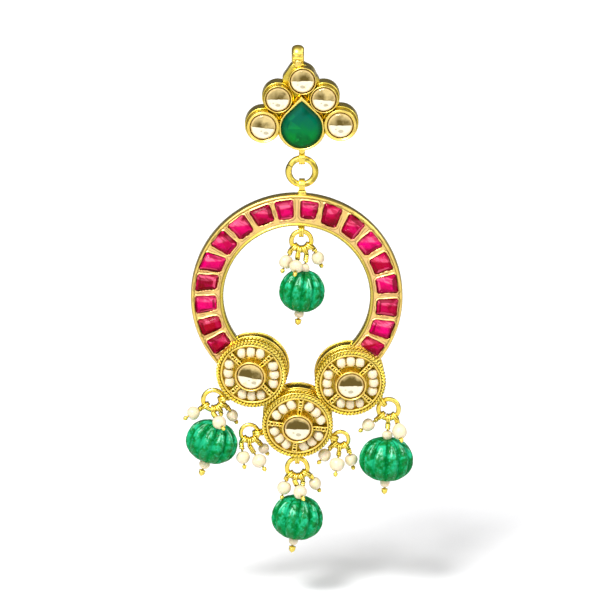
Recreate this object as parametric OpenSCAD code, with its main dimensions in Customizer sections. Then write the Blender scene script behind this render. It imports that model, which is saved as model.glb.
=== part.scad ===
// Kundan drop earring in millimetres: X right, Z up, the face looks to -Y, the post points to +Y.
// The origin is the middle of the stud's back plate, where the post enters the ear lobe.
// Everything is drawn in face coordinates (x, up, front) and then stood upright by upright().

/* [Stud] */
// Depth of the stud's box
stud_depth = 2.6; // [2.4:0.1:2.8]
// Front of the bezels above the back plate
stud_bezel_front = 3.7; // [3.5:0.05:3.8]
// Wall of the box outside the bezels
stud_margin = 0.28; // [0.24:0.02:0.32]
// Radius of the teardrop bezel
tear_bezel_r = 3.37; // [3.32:0.01:3.4]
// Tip of the teardrop bezel above its round centre
tear_bezel_tip = 4.91; // [4.8:0.01:5]
// Wall of the teardrop bezel
tear_wall = 0.3; // [0.25:0.01:0.35]
// Width of the support loop along its eye
top_loop_w = 1.85; // [1.6:0.05:2.1]
// Radius of the support loop's eye
top_loop_hole_r = 0.95; // [0.85:0.05:1]
// Length of the ear post behind the back plate
post_len = 10.5; // [9:0.5:12]
// Radius of the ear post
post_r = 0.45; // [0.4:0.01:0.48]

/* [Link ring] */
// Mean radius of the link ring
link_r = 1.98; // [1.94:0.01:2.02]
// Wire radius of the link ring
link_wire_r = 0.49; // [0.46:0.01:0.5]

/* [Hoop] */
// Outer radius of the hoop
hoop_out_r = 15.67; // [15.6:0.01:15.75]
// Inner radius of the hoop
hoop_in_r = 10.85; // [10.8:0.01:10.95]
// Thickness of the hoop
hoop_depth = 2; // [1.9:0.05:2.2]
// Depth of a ruby pocket
pocket_depth = 1; // [0.9:0.05:1.1]

/* [Rosettes] */
// Radius of a rosette's box
rosette_box_r = 5; // [4.95:0.01:5.02]
// Depth of a rosette's box
rosette_box_depth = 4.4; // [4.2:0.1:4.6]
// Radius of the rope rim's centre line
rope_r = 4.98; // [4.96:0.01:5]
// Radius of the rope
rope_wire_r = 0.34; // [0.32:0.01:0.35]
// Radius of a seed pearl
seed_r = 0.64; // [0.6:0.01:0.64]
// Front of the raised bezel above the rope's plane
rosette_bezel_front = 1.4; // [1.3:0.05:1.5]

/* [Drops] */
// Radius of a pin's loop wire
pin_loop_wire_r = 0.18; // [0.17:0.01:0.19]
// Radius of a pin's stem
pin_stem_r = 0.15; // [0.12:0.01:0.15]
// Number of flutes on a melon bead
melon_flutes = 11; // [9:1:12]

/* [Hidden] */
$fn = 64;
bond = 0.1;                 // overlap of parts soldered into one solid
gap = 0.1;                  // free space between separate pieces
stone_gap = 0.05;           // free space round and under a set stone

mid_front = 1.6;            // plane of the hoop and the link ring
hoop_x = -0.78;
hoop_up = -27.6;
hoop_mid_r = (hoop_out_r + hoop_in_r) / 2 + 0.19;
hoop_front = mid_front + hoop_depth / 2;
hoop_edge = 0.28;           // bevel along the hoop's edges
band_sweep = 133;           // the band ends inside the rosettes at this angle from the top

tear_x = -0.05;
tear_up = -1.55;
tear_stone_r = tear_bezel_r - tear_wall - stone_gap;
tear_stone_tip = tear_bezel_tip - 0.8;
stone_seat = stud_bezel_front - 1.05;
bezel_wall = 0.25;

top_loop_r = top_loop_hole_r + 0.6;
top_loop_x = -0.6;
top_loop_up = 9.1;
stub_w = 0.5;               // square stub of the post in the back plate

eye_wire_r = 0.21;
eye_r = 0.86;
stud_eye_up = -6.53;
link_up = -8.59;
hoop_eye_up = link_up - link_r - 0.08;

seed_middle_r = 3.44;       // from the rosette's axis to the middle pearl of a group of three
seed_side_r = 3.54;         // and to the two beside it
inner_rim_r = 4.5;
inner_rim_wire_r = 0.2;
trough_r = 4.45;
rosette_floor = -0.75;
rosette_front = 3.6;        // front position of each rope's plane
rosette_bezel_r = 2.33;
rosette_stone_r = 2;
rosette_stone_seat = 0.2;
bar_w = 0.42;
bar_front = 0.35;
peg_r = 0.15;
seed_pitch = 2 * seed_r + gap;
seed_up = rosette_floor + gap + seed_r;

small_eye_r = 0.72;
small_eye_wire_r = 0.25;
collar_r = 0.28;
collar_len = 0.45;
ball_r = 0.34;

// Round stones of the stud, the top one first: it stands on the shoulders and has no box of its own
SX = 0; SUP = 1; SSTONE = 2;    // columns: x, up, stone radius
stud_stones = [
    [ 0.08,  5.64, 1.85],
    [-3.53,  2.86, 1.85],
    [ 3.22,  2.86, 1.85],
    [-5.74, -1.34, 1.95],
    [ 5.66, -1.07, 1.95]];
// Walls of the lower two bezels are thicker than those of the upper three
function stud_bezel_r(s) = s[SSTONE] + (s[SSTONE] > 1.9 ? bezel_wall + 0.22 : bezel_wall);

// Rubies from the top down, first the left side and then the right one
// columns: angle from the top to the right, width at mid radius, radial length, lean of the inner end
RANGLE = 0; RWIDTH = 1; RLEN = 2; RLEAN = 3;
rubies = [
    [  -7.4, 2.30, 2.70,  0.00], [ -22.0, 2.70, 2.45,  0.05], [ -37.5, 2.55, 2.75,  0.00],
    [ -52.2, 2.40, 2.90,  0.00], [ -67.0, 2.40, 2.95,  0.22], [ -80.2, 2.20, 2.95,  0.25],
    [ -94.2, 2.25, 2.95,  0.05], [-108.2, 2.10, 2.95,  0.00], [-121.2, 2.05, 2.85,  0.05],
    [   7.6, 2.30, 2.55,  0.00], [  22.1, 2.40, 2.95,  0.15], [  37.6, 2.40, 2.90,  0.12],
    [  52.6, 2.45, 2.80,  0.00], [  67.7, 2.45, 2.60,  0.05], [  81.8, 2.40, 2.90,  0.00],
    [  96.5, 2.35, 2.90,  0.10], [ 110.7, 2.35, 2.95,  0.20], [ 123.5, 1.80, 2.90,  0.00]];

// Rosettes: left, right and middle
ZX = 0; ZUP = 1; ZDOWN = 2; ZOUT = 3; ZBARS = 4;  // columns: x, up, tilt down, turn, angle of the bars
rosettes = [
    [-7.49, -39.04,  6, -8, 45],
    [ 7.18, -40.41,  9,  3, 45],
    [-0.65, -46.94, 12,  0, -7]];

// Jump rings: inner, left, middle left, bottom, middle right and right
// columns: x, up, front, ring radius, wire radius, angle of its eye, x and up of what holds the eye
JX = 0; JUP = 1; JFRONT = 2; JR = 3; JWIRE = 4; JEYE = 5; JHOLDX = 6; JHOLDUP = 7;
jump_rings = [
    [ -0.10, -19.20, 1.6, 1.47, 0.35,  90, -0.10, -12.20],
    [-13.13, -43.78, 1.0, 1.52, 0.35,  12, -7.49, -39.04],
    [ -7.78, -48.86, 1.0, 1.30, 0.30,   5, -0.65, -46.94],
    [ -0.70, -54.22, 1.0, 1.52, 0.35,  90, -0.65, -46.94],
    [  5.71, -49.86, 1.0, 1.20, 0.30, 160, -0.65, -46.94],
    [ 12.84, -45.15, 1.0, 1.50, 0.35, 130,  7.18, -40.41]];

// Pearl pins: each hangs one pearl from a jump ring
// columns: ring, angle on the ring, pearl x, up and front from the ring's centre, pearl radius
PRING = 0; PANGLE = 1; PX = 2; PUP = 3; PFRONT = 4; PPEARL = 5;
pearl_pins = [
    [0, 222, -2.25, -3.10,  0.50, 1.03],
    [0, 256, -0.75, -3.35,  2.10, 1.03],
    [0, 328,  2.45, -2.75, -0.50, 1.00],
    [1, 214, -2.95, -1.90,  0.40, 1.01],
    [1, 268,  0.90, -2.80,  2.50, 1.03],
    [1, 334,  2.80, -2.60, -0.80, 0.90],
    [2, 228, -0.95, -3.60,  0.60, 1.00],
    [2, 270,  1.45, -3.90,  1.40, 1.08],
    [2, 314,  2.10, -2.70, -1.10, 0.80],
    [3, 222, -1.95, -2.95,  0.50, 1.05],
    [3, 258,  0.40, -3.05,  2.40, 1.05],
    [3, 330,  2.65, -2.60, -0.70, 0.95],
    [4, 218, -2.35, -2.30,  0.30, 0.96],
    [4, 264, -0.50, -3.50,  1.30, 1.12],
    [4, 310,  1.60, -3.30, -0.60, 0.96],
    [5, 222, -3.00, -2.40,  0.30, 0.98],
    [5, 308,  1.60, -3.00,  1.70, 1.10]];

// Melon pins: each carries a small pearl, a melon bead, another pearl and a ball
// columns: ring, angle, bead x and up from the ring's centre, bead radius, half length, pearls, ball
MRING = 0; MANGLE = 1; MX = 2; MUP = 3; MR = 4; MHALF = 5; MTOP = 6; MBOTTOM = 7; MBALL = 8;
melon_pins = [
    [0, 292,  0.10, -7.65, 3.43, 3.10, 0.72, 0.72, 0.50],
    [1, 303, -0.25, -6.40, 3.94, 3.10, 0.72, 0.82, 0.50],
    [3, 294,  0.00, -7.61, 3.89, 3.25, 0.75, 0.72, 0.52],
    [5, 268, -0.35, -7.71, 4.08, 3.20, 0.78, 0.75, 0.48]];
melon_nest = 0.35;          // how deep the small pearls sit in a melon's dimples
melon_bore_r = 0.3;

// Rows of a melon bead run from the top dimple over the outside to the bottom dimple
melon_rows = [14, 30, 46, 62, 76, 90, 104, 118, 134, 150, 166];   // angles from the bead's axis
flute_samples = 4;

// Shoulders between the support loop and the stud's box, a row of x and up for each corner
shoulders = [[-1.4, 8.05], [-2.2, 6.85], [-3.05, 5.6], [-2.4, 4.6], [2.4, 4.4], [2.75, 5.25],
    [1.5, 7.05], [0.2, 8.05]];
shoulder_depth = 2.3;
// Plate that fills the gaps between the bezels
filler = [[0.08, 5.6], [-3.6, 3.6], [-6.2, -0.6], [-4.6, -2.2], [0, -3.6], [4.6, -2], [6.1, -0.4],
    [3.4, 3.6]];
filler_depth = 2.1;
// Barrel of the support loop: place along it and share of its wall that stands there
barrel = [[-1, 0.17], [-0.87, 0.53], [-0.6, 0.83], [-0.22, 1], [0.22, 1], [0.6, 0.83], [0.87, 0.53],
    [1, 0.17]];

// Shared shapes in face coordinates

module upright() rotate([90, 0, 0]) children();

module at(x, up, front = 0) translate([x, up, front]) children();

module torus(r, wire) rotate_extrude() translate([r, 0]) circle(wire);

// A wire ring whose opening faces along the direction "angle" in the face plane
module eye_along(angle, r, wire) rotate([0, 0, angle]) rotate([0, 90, 0]) torus(r, wire);

function unit(v) = v / norm(v);

// Puts children with their z axis along "dir", starting at "from"
module along(from, dir)
    translate(from) rotate([0, acos(dir[2] / norm(dir)), atan2(dir[1], dir[0])]) children();

module rod(from, to, r) along(from, to - from) cylinder(h = norm(to - from), r = r);

// A stone from its outline and rows of [outline scale, height], with flat bottom and table
module cut_stone(outline, rows) {
    n = len(outline);
    points = [for (row = rows) for (p = outline) [p[0] * row[0], p[1] * row[0], row[1]]];
    sides = [for (i = [0 : len(rows) - 2]) for (j = [0 : n - 1])
        [i * n + j, (i + 1) * n + j, (i + 1) * n + (j + 1) % n, i * n + (j + 1) % n]];
    bottom = [for (j = [0 : n - 1]) j];
    table = [for (j = [n - 1 : -1 : 0]) (len(rows) - 1) * n + j];
    polyhedron(points, concat(sides, [bottom, table]), convexity = 2);
}

function round_outline(r, n = 12) = [for (i = [0 : n - 1]) r * [cos(360 * i / n), sin(360 * i / n)]];
polki_rows = [[0.88, 0], [1, 0.35], [1, 0.6], [0.7, 1.2]];

// Teardrop: a circle about the origin drawn out to a tip
function tangent_angle(r, tip) = acos(r / tip);
function tear_outline(r, tip, n = 22) = let (a = tangent_angle(r, tip)) concat([[0, tip]],
    [for (i = [0 : n]) let (t = -a - (360 - 2 * a) * (1 - i / n)) [-r * sin(t), r * cos(t)]]);
module tear_prism(r, tip, h) {
    a = tangent_angle(r, tip) + 12;
    side = 0.96 * r * [sin(a), cos(a)];
    cylinder(h = h, r = r);
    linear_extrude(h) polygon([[0, tip], [-side[0], side[1]], [0, -r / 2], side]);
}

// Stud

module stud_metal() difference() {
    union() {
        for (s = stud_stones)
            at(s[SX], s[SUP]) cylinder(h = stud_bezel_front, r = stud_bezel_r(s));
        for (i = [1 : len(stud_stones) - 1]) let (s = stud_stones[i])
            at(s[SX], s[SUP]) cylinder(h = stud_depth, r = stud_bezel_r(s) + stud_margin);
        at(tear_x, tear_up) tear_prism(tear_bezel_r + stud_margin, tear_bezel_tip + 0.5, stud_depth);
        at(tear_x, tear_up) tear_prism(tear_bezel_r, tear_bezel_tip, stud_bezel_front);
        linear_extrude(shoulder_depth) polygon(shoulders);
        linear_extrude(filler_depth) polygon(filler);
        at(top_loop_x, top_loop_up, mid_front) eye_tube();
        at(0, stud_eye_up, mid_front) eye_along(0, eye_r, eye_wire_r);
        rod([0, stud_eye_up + eye_r, mid_front], [0, tear_up - tear_bezel_r + 0.6, mid_front], 0.45);
    }
    for (s = stud_stones)
        at(s[SX], s[SUP], stone_seat) cylinder(h = stud_depth, r = s[SSTONE]);
    at(tear_x, tear_up, stone_seat)
        tear_prism(tear_bezel_r - tear_wall, tear_stone_tip + 2 * stone_gap, stud_depth);
    at(top_loop_x - top_loop_w, top_loop_up, mid_front)
        rotate([0, 90, 0]) cylinder(h = 2 * top_loop_w, r = top_loop_hole_r);
    at(0, 0, -bond) stub(0.6 + bond, stub_w + 2 * stone_gap);
}
module eye_tube() rotate([0, 90, 0]) rotate_extrude() let (half = top_loop_w / 2) polygon(concat(
    [[0, -half]],
    [for (b = barrel) [top_loop_hole_r + b[1] * (top_loop_r - top_loop_hole_r), b[0] * half]],
    [[0, half]]));

module stud_stone(i) let (s = stud_stones[i])
    at(s[SX], s[SUP], stone_seat + stone_gap)
        cut_stone(round_outline(s[SSTONE] - stone_gap), polki_rows);

module teardrop() at(tear_x, tear_up, stone_seat + stone_gap)
    cut_stone(tear_outline(tear_stone_r, tear_stone_tip),
        [[0.9, 0], [1, 0.3], [1, 0.75], [0.84, 1.05], [0.66, 1.25]]);

module stub(h, w) translate([-w / 2, -w / 2]) cube([w, w, h]);

module post() {
    tip = 0.4;
    at(0, 0, tip - post_len) cylinder(h = post_len - tip - stone_gap, r = post_r);
    at(0, 0, -post_len) cylinder(h = tip, r1 = post_r / 2, r2 = post_r);
    at(0, 0, -bond) stub(0.5 + bond, stub_w);
}

// Hoop with its rosettes

function ruby_x(angle, r) = hoop_x + r * sin(angle);
function ruby_up(angle, r) = hoop_up + r * cos(angle);

// Keystone with cut corners, its long side pointing away from the hoop's centre
function ruby_outline(row, grow) = let (
        half = row[RLEN] / 2, top = half + grow, cut = 0.36, lean = row[RLEAN],
        wide = row[RWIDTH] / 2 * (1 + half / hoop_mid_r) + grow,
        narrow = row[RWIDTH] / 2 * (1 - half / hoop_mid_r) + grow)
    [[lean + narrow - cut, -top], [lean + narrow, cut - top], [wide - lean, top - cut],
     [wide - lean - cut, top], [cut - wide - lean, top], [-wide - lean, top - cut],
     [lean - narrow, cut - top], [lean + cut - narrow, -top]];
module on_band(row) at(ruby_x(row[RANGLE], hoop_mid_r), ruby_up(row[RANGLE], hoop_mid_r))
    rotate([0, 0, -row[RANGLE]]) children();

module band() at(hoop_x, hoop_up, mid_front) rotate([0, 0, 90 - band_sweep])
    rotate_extrude(angle = 2 * band_sweep) let (half = hoop_depth / 2) polygon([
        [hoop_in_r + hoop_edge, -half], [hoop_out_r - hoop_edge, -half], [hoop_out_r, hoop_edge - half],
        [hoop_out_r, half - hoop_edge], [hoop_out_r - hoop_edge, half], [hoop_in_r + hoop_edge, half],
        [hoop_in_r, half - hoop_edge], [hoop_in_r, hoop_edge - half]]);

module on_rosette(z) at(z[ZX], z[ZUP], rosette_front) rotate([z[ZDOWN], z[ZOUT], 0]) children();
// Distances out from the axis and across of the three pearls between two bars
function seed_out(k) = k == 0 ? seed_middle_r : sqrt(pow(seed_side_r, 2) - pow(seed_pitch, 2));
module at_seeds(z) for (side = [0 : 3], k = [-1 : 1])
    rotate([0, 0, z[ZBARS] + 45 + 90 * side]) translate([seed_out(k), k * seed_pitch, 0]) children();

// Plate that joins the three boxes, a row of x and up for each corner
web_corners = [[-4.2, -41], [3.6, -41], [5.6, -44.6], [2.8, -46.2], [-4.3, -46], [-6.2, -43]];
web_back = 0.8;
web_depth = 0.9;

function ring_point(j, angle, r) = [j[JX] + r * cos(angle), j[JUP] + r * sin(angle), j[JFRONT]];

module small_eye(j) {
    holder = [j[JHOLDX], j[JHOLDUP], j[JFRONT]];
    start = ring_point(j, j[JEYE], j[JR] + small_eye_r);
    translate(ring_point(j, j[JEYE], j[JR])) eye_along(j[JEYE] + 90, small_eye_r, small_eye_wire_r);
    rod(start, holder + 4 * unit(start - holder), 0.32);
}

module rosette_metal(z) on_rosette(z) {
    translate([0, 0, 0.1]) torus(rope_r, rope_wire_r);
    translate([0, 0, 0.05]) torus(inner_rim_r, inner_rim_wire_r);
    difference() {
        translate([0, 0, rosette_floor - bond])
            cylinder(h = rosette_bezel_front - rosette_floor + bond, r = rosette_bezel_r);
        translate([0, 0, rosette_stone_seat]) cylinder(h = 3, r = rosette_stone_r + stone_gap);
    }
    for (side = [0 : 3]) rotate([0, 0, z[ZBARS] + 90 * side])
        translate([rosette_bezel_r - bond, -bar_w / 2, rosette_floor - bond])
            cube([inner_rim_r - rosette_bezel_r + bond, bar_w, bar_front - rosette_floor + bond]);
    at_seeds(z)
        translate([0, 0, rosette_floor - bond]) cylinder(h = seed_up - rosette_floor + bond, r = peg_r);
}

module hoop_metal() {
    difference() {
        union() {
            band();
            for (z = rosettes) on_rosette(z)
                translate([0, 0, -rosette_box_depth]) cylinder(h = rosette_box_depth, r = rosette_box_r);
            at(0, 0, web_back) linear_extrude(web_depth) polygon(web_corners);
            at(0, hoop_eye_up, mid_front) eye_along(0, eye_r, eye_wire_r);
            rod([0, hoop_eye_up - eye_r, mid_front], [0, hoop_eye_up - eye_r - 0.8, mid_front], 0.42);
            for (j = jump_rings) small_eye(j);
        }
        for (row = rubies) on_band(row)
            translate([0, 0, hoop_front - pocket_depth])
                linear_extrude(pocket_depth + 1) polygon(ruby_outline(row, stone_gap));
        for (z = rosettes) on_rosette(z)
            translate([0, 0, rosette_floor]) cylinder(h = 3, r = trough_r);
    }
    for (z = rosettes) rosette_metal(z);
}

module ruby(i) on_band(rubies[i])
    translate([0, 0, hoop_front - pocket_depth + stone_gap])
        cut_stone(ruby_outline(rubies[i], 0),
            [[0.9, 0], [1, 0.3], [1, 0.85], [0.8, 1.15], [0.58, 1.3]]);

module rosette_stone(i) on_rosette(rosettes[i])
    translate([0, 0, rosette_stone_seat + stone_gap]) cut_stone(round_outline(rosette_stone_r), polki_rows);

module seed_pearls(i) on_rosette(rosettes[i]) at_seeds(rosettes[i])
    translate([0, 0, seed_up]) difference() {
        sphere(seed_r);
        translate([0, 0, -seed_r]) cylinder(h = seed_r + 0.15, r = peg_r + gap);
    }

// Drops

function pin_side(angle, aim) = let (out = [cos(angle), sin(angle), 0], front = [0, 0, 1])
    unit(out * (aim * out) + front * (aim * front));
function loop_r(j) = j[JWIRE] + 0.12 + pin_loop_wire_r;
// Where a pin's stem leaves its loop, and the direction in which it runs on to its bead
function pin_start(j, angle, bead) = let (p = ring_point(j, angle, j[JR]))
    p + loop_r(j) * pin_side(angle, bead - p);
function pin_dir(j, angle, bead) = unit(bead - pin_start(j, angle, bead));

module pin(j, angle, bead, tail, ball) {
    start = pin_start(j, angle, bead);
    dir = pin_dir(j, angle, bead);
    end = bead + tail * dir;
    translate(ring_point(j, angle, j[JR])) eye_along(angle + 90, loop_r(j), pin_loop_wire_r);
    rod(start, start + collar_len * dir, collar_r);
    rod(start, end, pin_stem_r);
    translate(end) sphere(ball);
}

module drilled(r, at_point, dir) difference() {
    translate(at_point) sphere(r);
    rod(at_point - 2 * r * dir, at_point + 2 * r * dir, pin_stem_r + gap);
}

function pin_bead(p) = ring_point(jump_rings[p[PRING]], 0, 0) + [p[PX], p[PUP], p[PFRONT]];
function melon_bead(m) = ring_point(jump_rings[m[MRING]], 0, 0) + [m[MX], m[MUP], 0];
function melon_dir(m) = pin_dir(jump_rings[m[MRING]], m[MANGLE], melon_bead(m));
function nest(m, pearl) = m[MHALF] - melon_nest + pearl;

module pins(ring) {
    j = jump_rings[ring];
    for (p = pearl_pins) if (p[PRING] == ring)
        pin(j, p[PANGLE], pin_bead(p), p[PPEARL] + 0.08 + ball_r, ball_r);
    for (m = melon_pins) if (m[MRING] == ring)
        pin(j, m[MANGLE], melon_bead(m), nest(m, 2 * m[MBOTTOM]) + 0.08 + m[MBALL], m[MBALL]);
}

module pearls(ring) {
    j = jump_rings[ring];
    for (p = pearl_pins) if (p[PRING] == ring)
        drilled(p[PPEARL], pin_bead(p), pin_dir(j, p[PANGLE], pin_bead(p)));
    for (m = melon_pins) if (m[MRING] == ring) {
        drilled(m[MTOP], melon_bead(m) - nest(m, m[MTOP]) * melon_dir(m), melon_dir(m));
        drilled(m[MBOTTOM], melon_bead(m) + nest(m, m[MBOTTOM]) * melon_dir(m), melon_dir(m));
    }
}

// Rounded lobes that meet in sharp grooves and fade out towards the ends
function melon_radius(r, t, a) =
    r * pow(sin(t), 0.82) * (1 - 0.13 * sin(t) * (1 - abs(sin(melon_flutes * a / 2))));

module melon(i) {
    m = melon_pins[i];
    n = melon_flutes * flute_samples;
    end = m[MHALF] * cos(melon_rows[0]);
    skin = [for (t = melon_rows) for (k = [0 : n - 1])
        let (a = 360 * k / n, r = melon_radius(m[MR], t, a)) [r * cos(a), r * sin(a), m[MHALF] * cos(t)]];
    seats = [for (row = [[0.75, -end], [melon_bore_r, 0.3 - end], [melon_bore_r, end - 0.3], [0.75, end]])
        for (k = [0 : n - 1]) [row[0] * cos(360 * k / n), row[0] * sin(360 * k / n), row[1]]];
    rows = len(melon_rows) + 4;
    faces = [for (i = [0 : rows - 1]) for (k = [0 : n - 1]) let (
            here = i * n, next = ((i + 1) % rows) * n, l = (k + 1) % n)
        each [[here + k, here + l, next + l], [here + k, next + l, next + k]]];
    along(melon_bead(m), -melon_dir(m)) polyhedron(concat(skin, seats), faces, convexity = 6);
}

// Nodes

module stud_frame() color("gold") upright() stud_metal();
module ear_post() color("gold") upright() post();
module teardrop_emerald() color("seagreen") upright() teardrop();
module stud_stone_top() color("wheat") upright() stud_stone(0);
module stud_stone_upper_left() color("wheat") upright() stud_stone(1);
module stud_stone_upper_right() color("wheat") upright() stud_stone(2);
module stud_stone_lower_left() color("wheat") upright() stud_stone(3);
module stud_stone_lower_right() color("wheat") upright() stud_stone(4);
module link_ring() color("gold") upright() at(0, link_up, mid_front) torus(link_r, link_wire_r);
module hoop_frame() color("gold") upright() hoop_metal();
module ruby_left_1() color("crimson") upright() ruby(0);
module ruby_left_2() color("crimson") upright() ruby(1);
module ruby_left_3() color("crimson") upright() ruby(2);
module ruby_left_4() color("crimson") upright() ruby(3);
module ruby_left_5() color("crimson") upright() ruby(4);
module ruby_left_6() color("crimson") upright() ruby(5);
module ruby_left_7() color("crimson") upright() ruby(6);
module ruby_left_8() color("crimson") upright() ruby(7);
module ruby_left_9() color("crimson") upright() ruby(8);
module ruby_right_1() color("crimson") upright() ruby(9);
module ruby_right_2() color("crimson") upright() ruby(10);
module ruby_right_3() color("crimson") upright() ruby(11);
module ruby_right_4() color("crimson") upright() ruby(12);
module ruby_right_5() color("crimson") upright() ruby(13);
module ruby_right_6() color("crimson") upright() ruby(14);
module ruby_right_7() color("crimson") upright() ruby(15);
module ruby_right_8() color("crimson") upright() ruby(16);
module ruby_right_9() color("crimson") upright() ruby(17);
module rosette_left_stone() color("wheat") upright() rosette_stone(0);
module rosette_right_stone() color("wheat") upright() rosette_stone(1);
module rosette_middle_stone() color("wheat") upright() rosette_stone(2);
module rosette_left_pearls() color("ivory") upright() seed_pearls(0);
module rosette_right_pearls() color("ivory") upright() seed_pearls(1);
module rosette_middle_pearls() color("ivory") upright() seed_pearls(2);
module jump_ring(i) let (j = jump_rings[i])
    at(j[JX], j[JUP], j[JFRONT]) torus(j[JR], j[JWIRE]);
module ring_inner() color("gold") upright() jump_ring(0);
module ring_left() color("gold") upright() jump_ring(1);
module ring_middle_left() color("gold") upright() jump_ring(2);
module ring_bottom() color("gold") upright() jump_ring(3);
module ring_middle_right() color("gold") upright() jump_ring(4);
module ring_right() color("gold") upright() jump_ring(5);
module pins_inner() color("gold") upright() pins(0);
module pins_left() color("gold") upright() pins(1);
module pins_middle_left() color("gold") upright() pins(2);
module pins_bottom() color("gold") upright() pins(3);
module pins_middle_right() color("gold") upright() pins(4);
module pins_right() color("gold") upright() pins(5);
module pearls_inner() color("ivory") upright() pearls(0);
module pearls_left() color("ivory") upright() pearls(1);
module pearls_middle_left() color("ivory") upright() pearls(2);
module pearls_bottom() color("ivory") upright() pearls(3);
module pearls_middle_right() color("ivory") upright() pearls(4);
module pearls_right() color("ivory") upright() pearls(5);
module melon_inner() color("seagreen") upright() melon(0);
module melon_left() color("seagreen") upright() melon(1);
module melon_bottom() color("seagreen") upright() melon(2);
module melon_right() color("seagreen") upright() melon(3);

stud_frame();
ear_post();
teardrop_emerald();
stud_stone_top();
stud_stone_upper_left();
stud_stone_upper_right();
stud_stone_lower_left();
stud_stone_lower_right();
link_ring();
hoop_frame();
ruby_left_1();
ruby_left_2();
ruby_left_3();
ruby_left_4();
ruby_left_5();
ruby_left_6();
ruby_left_7();
ruby_left_8();
ruby_left_9();
ruby_right_1();
ruby_right_2();
ruby_right_3();
ruby_right_4();
ruby_right_5();
ruby_right_6();
ruby_right_7();
ruby_right_8();
ruby_right_9();
rosette_left_stone();
rosette_right_stone();
rosette_middle_stone();
rosette_left_pearls();
rosette_right_pearls();
rosette_middle_pearls();
ring_inner();
ring_left();
ring_middle_left();
ring_bottom();
ring_middle_right();
ring_right();
pins_inner();
pins_left();
pins_middle_left();
pins_bottom();
pins_middle_right();
pins_right();
pearls_inner();
pearls_left();
pearls_middle_left();
pearls_bottom();
pearls_middle_right();
pearls_right();
melon_inner();
melon_left();
melon_bottom();
melon_right();
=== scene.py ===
import math
from collections import namedtuple

import bpy
import numpy as np
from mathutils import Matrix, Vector


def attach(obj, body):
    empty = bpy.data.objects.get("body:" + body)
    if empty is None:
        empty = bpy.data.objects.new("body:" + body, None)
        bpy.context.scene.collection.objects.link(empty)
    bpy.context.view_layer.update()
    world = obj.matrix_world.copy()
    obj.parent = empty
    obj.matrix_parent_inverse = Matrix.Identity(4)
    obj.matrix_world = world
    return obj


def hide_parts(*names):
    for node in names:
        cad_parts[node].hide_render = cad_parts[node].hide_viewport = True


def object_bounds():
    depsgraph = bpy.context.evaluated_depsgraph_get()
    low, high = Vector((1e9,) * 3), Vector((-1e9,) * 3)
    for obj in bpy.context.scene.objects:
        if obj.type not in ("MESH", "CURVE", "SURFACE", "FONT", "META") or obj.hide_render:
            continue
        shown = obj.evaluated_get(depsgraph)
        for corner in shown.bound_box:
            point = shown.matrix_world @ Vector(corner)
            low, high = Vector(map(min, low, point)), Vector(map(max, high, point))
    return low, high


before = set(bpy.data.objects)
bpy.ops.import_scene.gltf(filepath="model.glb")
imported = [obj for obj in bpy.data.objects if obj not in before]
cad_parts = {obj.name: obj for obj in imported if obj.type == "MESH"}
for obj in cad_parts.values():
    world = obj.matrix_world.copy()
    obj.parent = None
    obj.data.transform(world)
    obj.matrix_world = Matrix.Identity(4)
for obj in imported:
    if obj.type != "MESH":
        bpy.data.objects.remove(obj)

bl_info = {
    "name": "Kundan drop earring",
    "version": (1, 0, 0),
    "blender": (4, 5, 0),
    "location": "3D View > Sidebar > Earring",
    "description": "Dresses the packed earring: gold work, cut stones, pearls, carved beads and stage",
    "category": "Add Mesh",
}

# Shapes are worked out in face coordinates (x, up, front) in millimetres, as the solids are drawn.
MM = 0.001
CAD_LOW, CAD_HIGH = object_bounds()
FULL_TURN = 2 * math.pi
MID_FRONT = 1.6             # plane of the hoop and the link ring
STONE_GAP = 0.05            # between a round stone or the emerald and what holds it

# Stud: x, up and stone radius of each round stone, and the wall of its bezel
STUD_STONES = [
    [0.08, 5.64, 1.85, 0.25], [-3.53, 2.86, 1.85, 0.25], [3.22, 2.86, 1.85, 0.25],
    [-5.74, -1.34, 1.95, 0.47], [5.66, -1.07, 1.95, 0.47]]
STUD_NAMES = ["stud_stone_" + side for side in ("top", "upper_left", "upper_right", "lower_left",
                                                "lower_right")]
STUD_MARGIN, BEZEL_FOOT = 0.28, 2.58        # how far a bezel's box stands out, and how high
BACK_STEP = 0.02            # each box starts a little further in, so that no two backs share a plane
STONE_SEAT = 2.65
TEAR_CENTRE, TEAR_R = np.array([-0.05, -1.55]), 3.37
SHOULDERS = [[-1.4, 8.05], [-2.2, 6.85], [-3.05, 5.6], [-2.4, 4.6], [2.4, 4.4], [2.75, 5.25],
             [1.5, 7.05], [0.2, 8.05]]
FILLER = [[0.08, 5.6], [-3.6, 3.6], [-6.2, -0.6], [-4.6, -2.2], [0.0, -3.6], [4.6, -2.0], [6.1, -0.4],
          [3.4, 3.6]]
LOOP_X, LOOP_UP, LOOP_HALF, LOOP_HOLE, LOOP_WALL = -0.6, 9.1, 0.925, 0.95, 0.6
STUD_EYE_UP, LINK_UP, LINK_R, LINK_WIRE = -6.53, -8.59, 1.98, 0.49
HOOP_EYE_UP = LINK_UP - LINK_R - 0.08
STRAP_HOLE, STRAP_OUT, STRAP_HALF = 0.66, 0.98, 0.44     # broad eyes of the link ring

# Hoop
HOOP_X, HOOP_UP, HOOP_IN, HOOP_OUT, HOOP_DEPTH = -0.78, -27.6, 10.85, 15.67, 2.0
HOOP_MID = (HOOP_IN + HOOP_OUT) / 2 + 0.19
HOOP_FRONT = MID_FRONT + HOOP_DEPTH / 2
HOOP_EDGE, BAND_SWEEP = 0.28, 133
BAND_ROWS, BAND_COLUMNS = 58, 720
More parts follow.
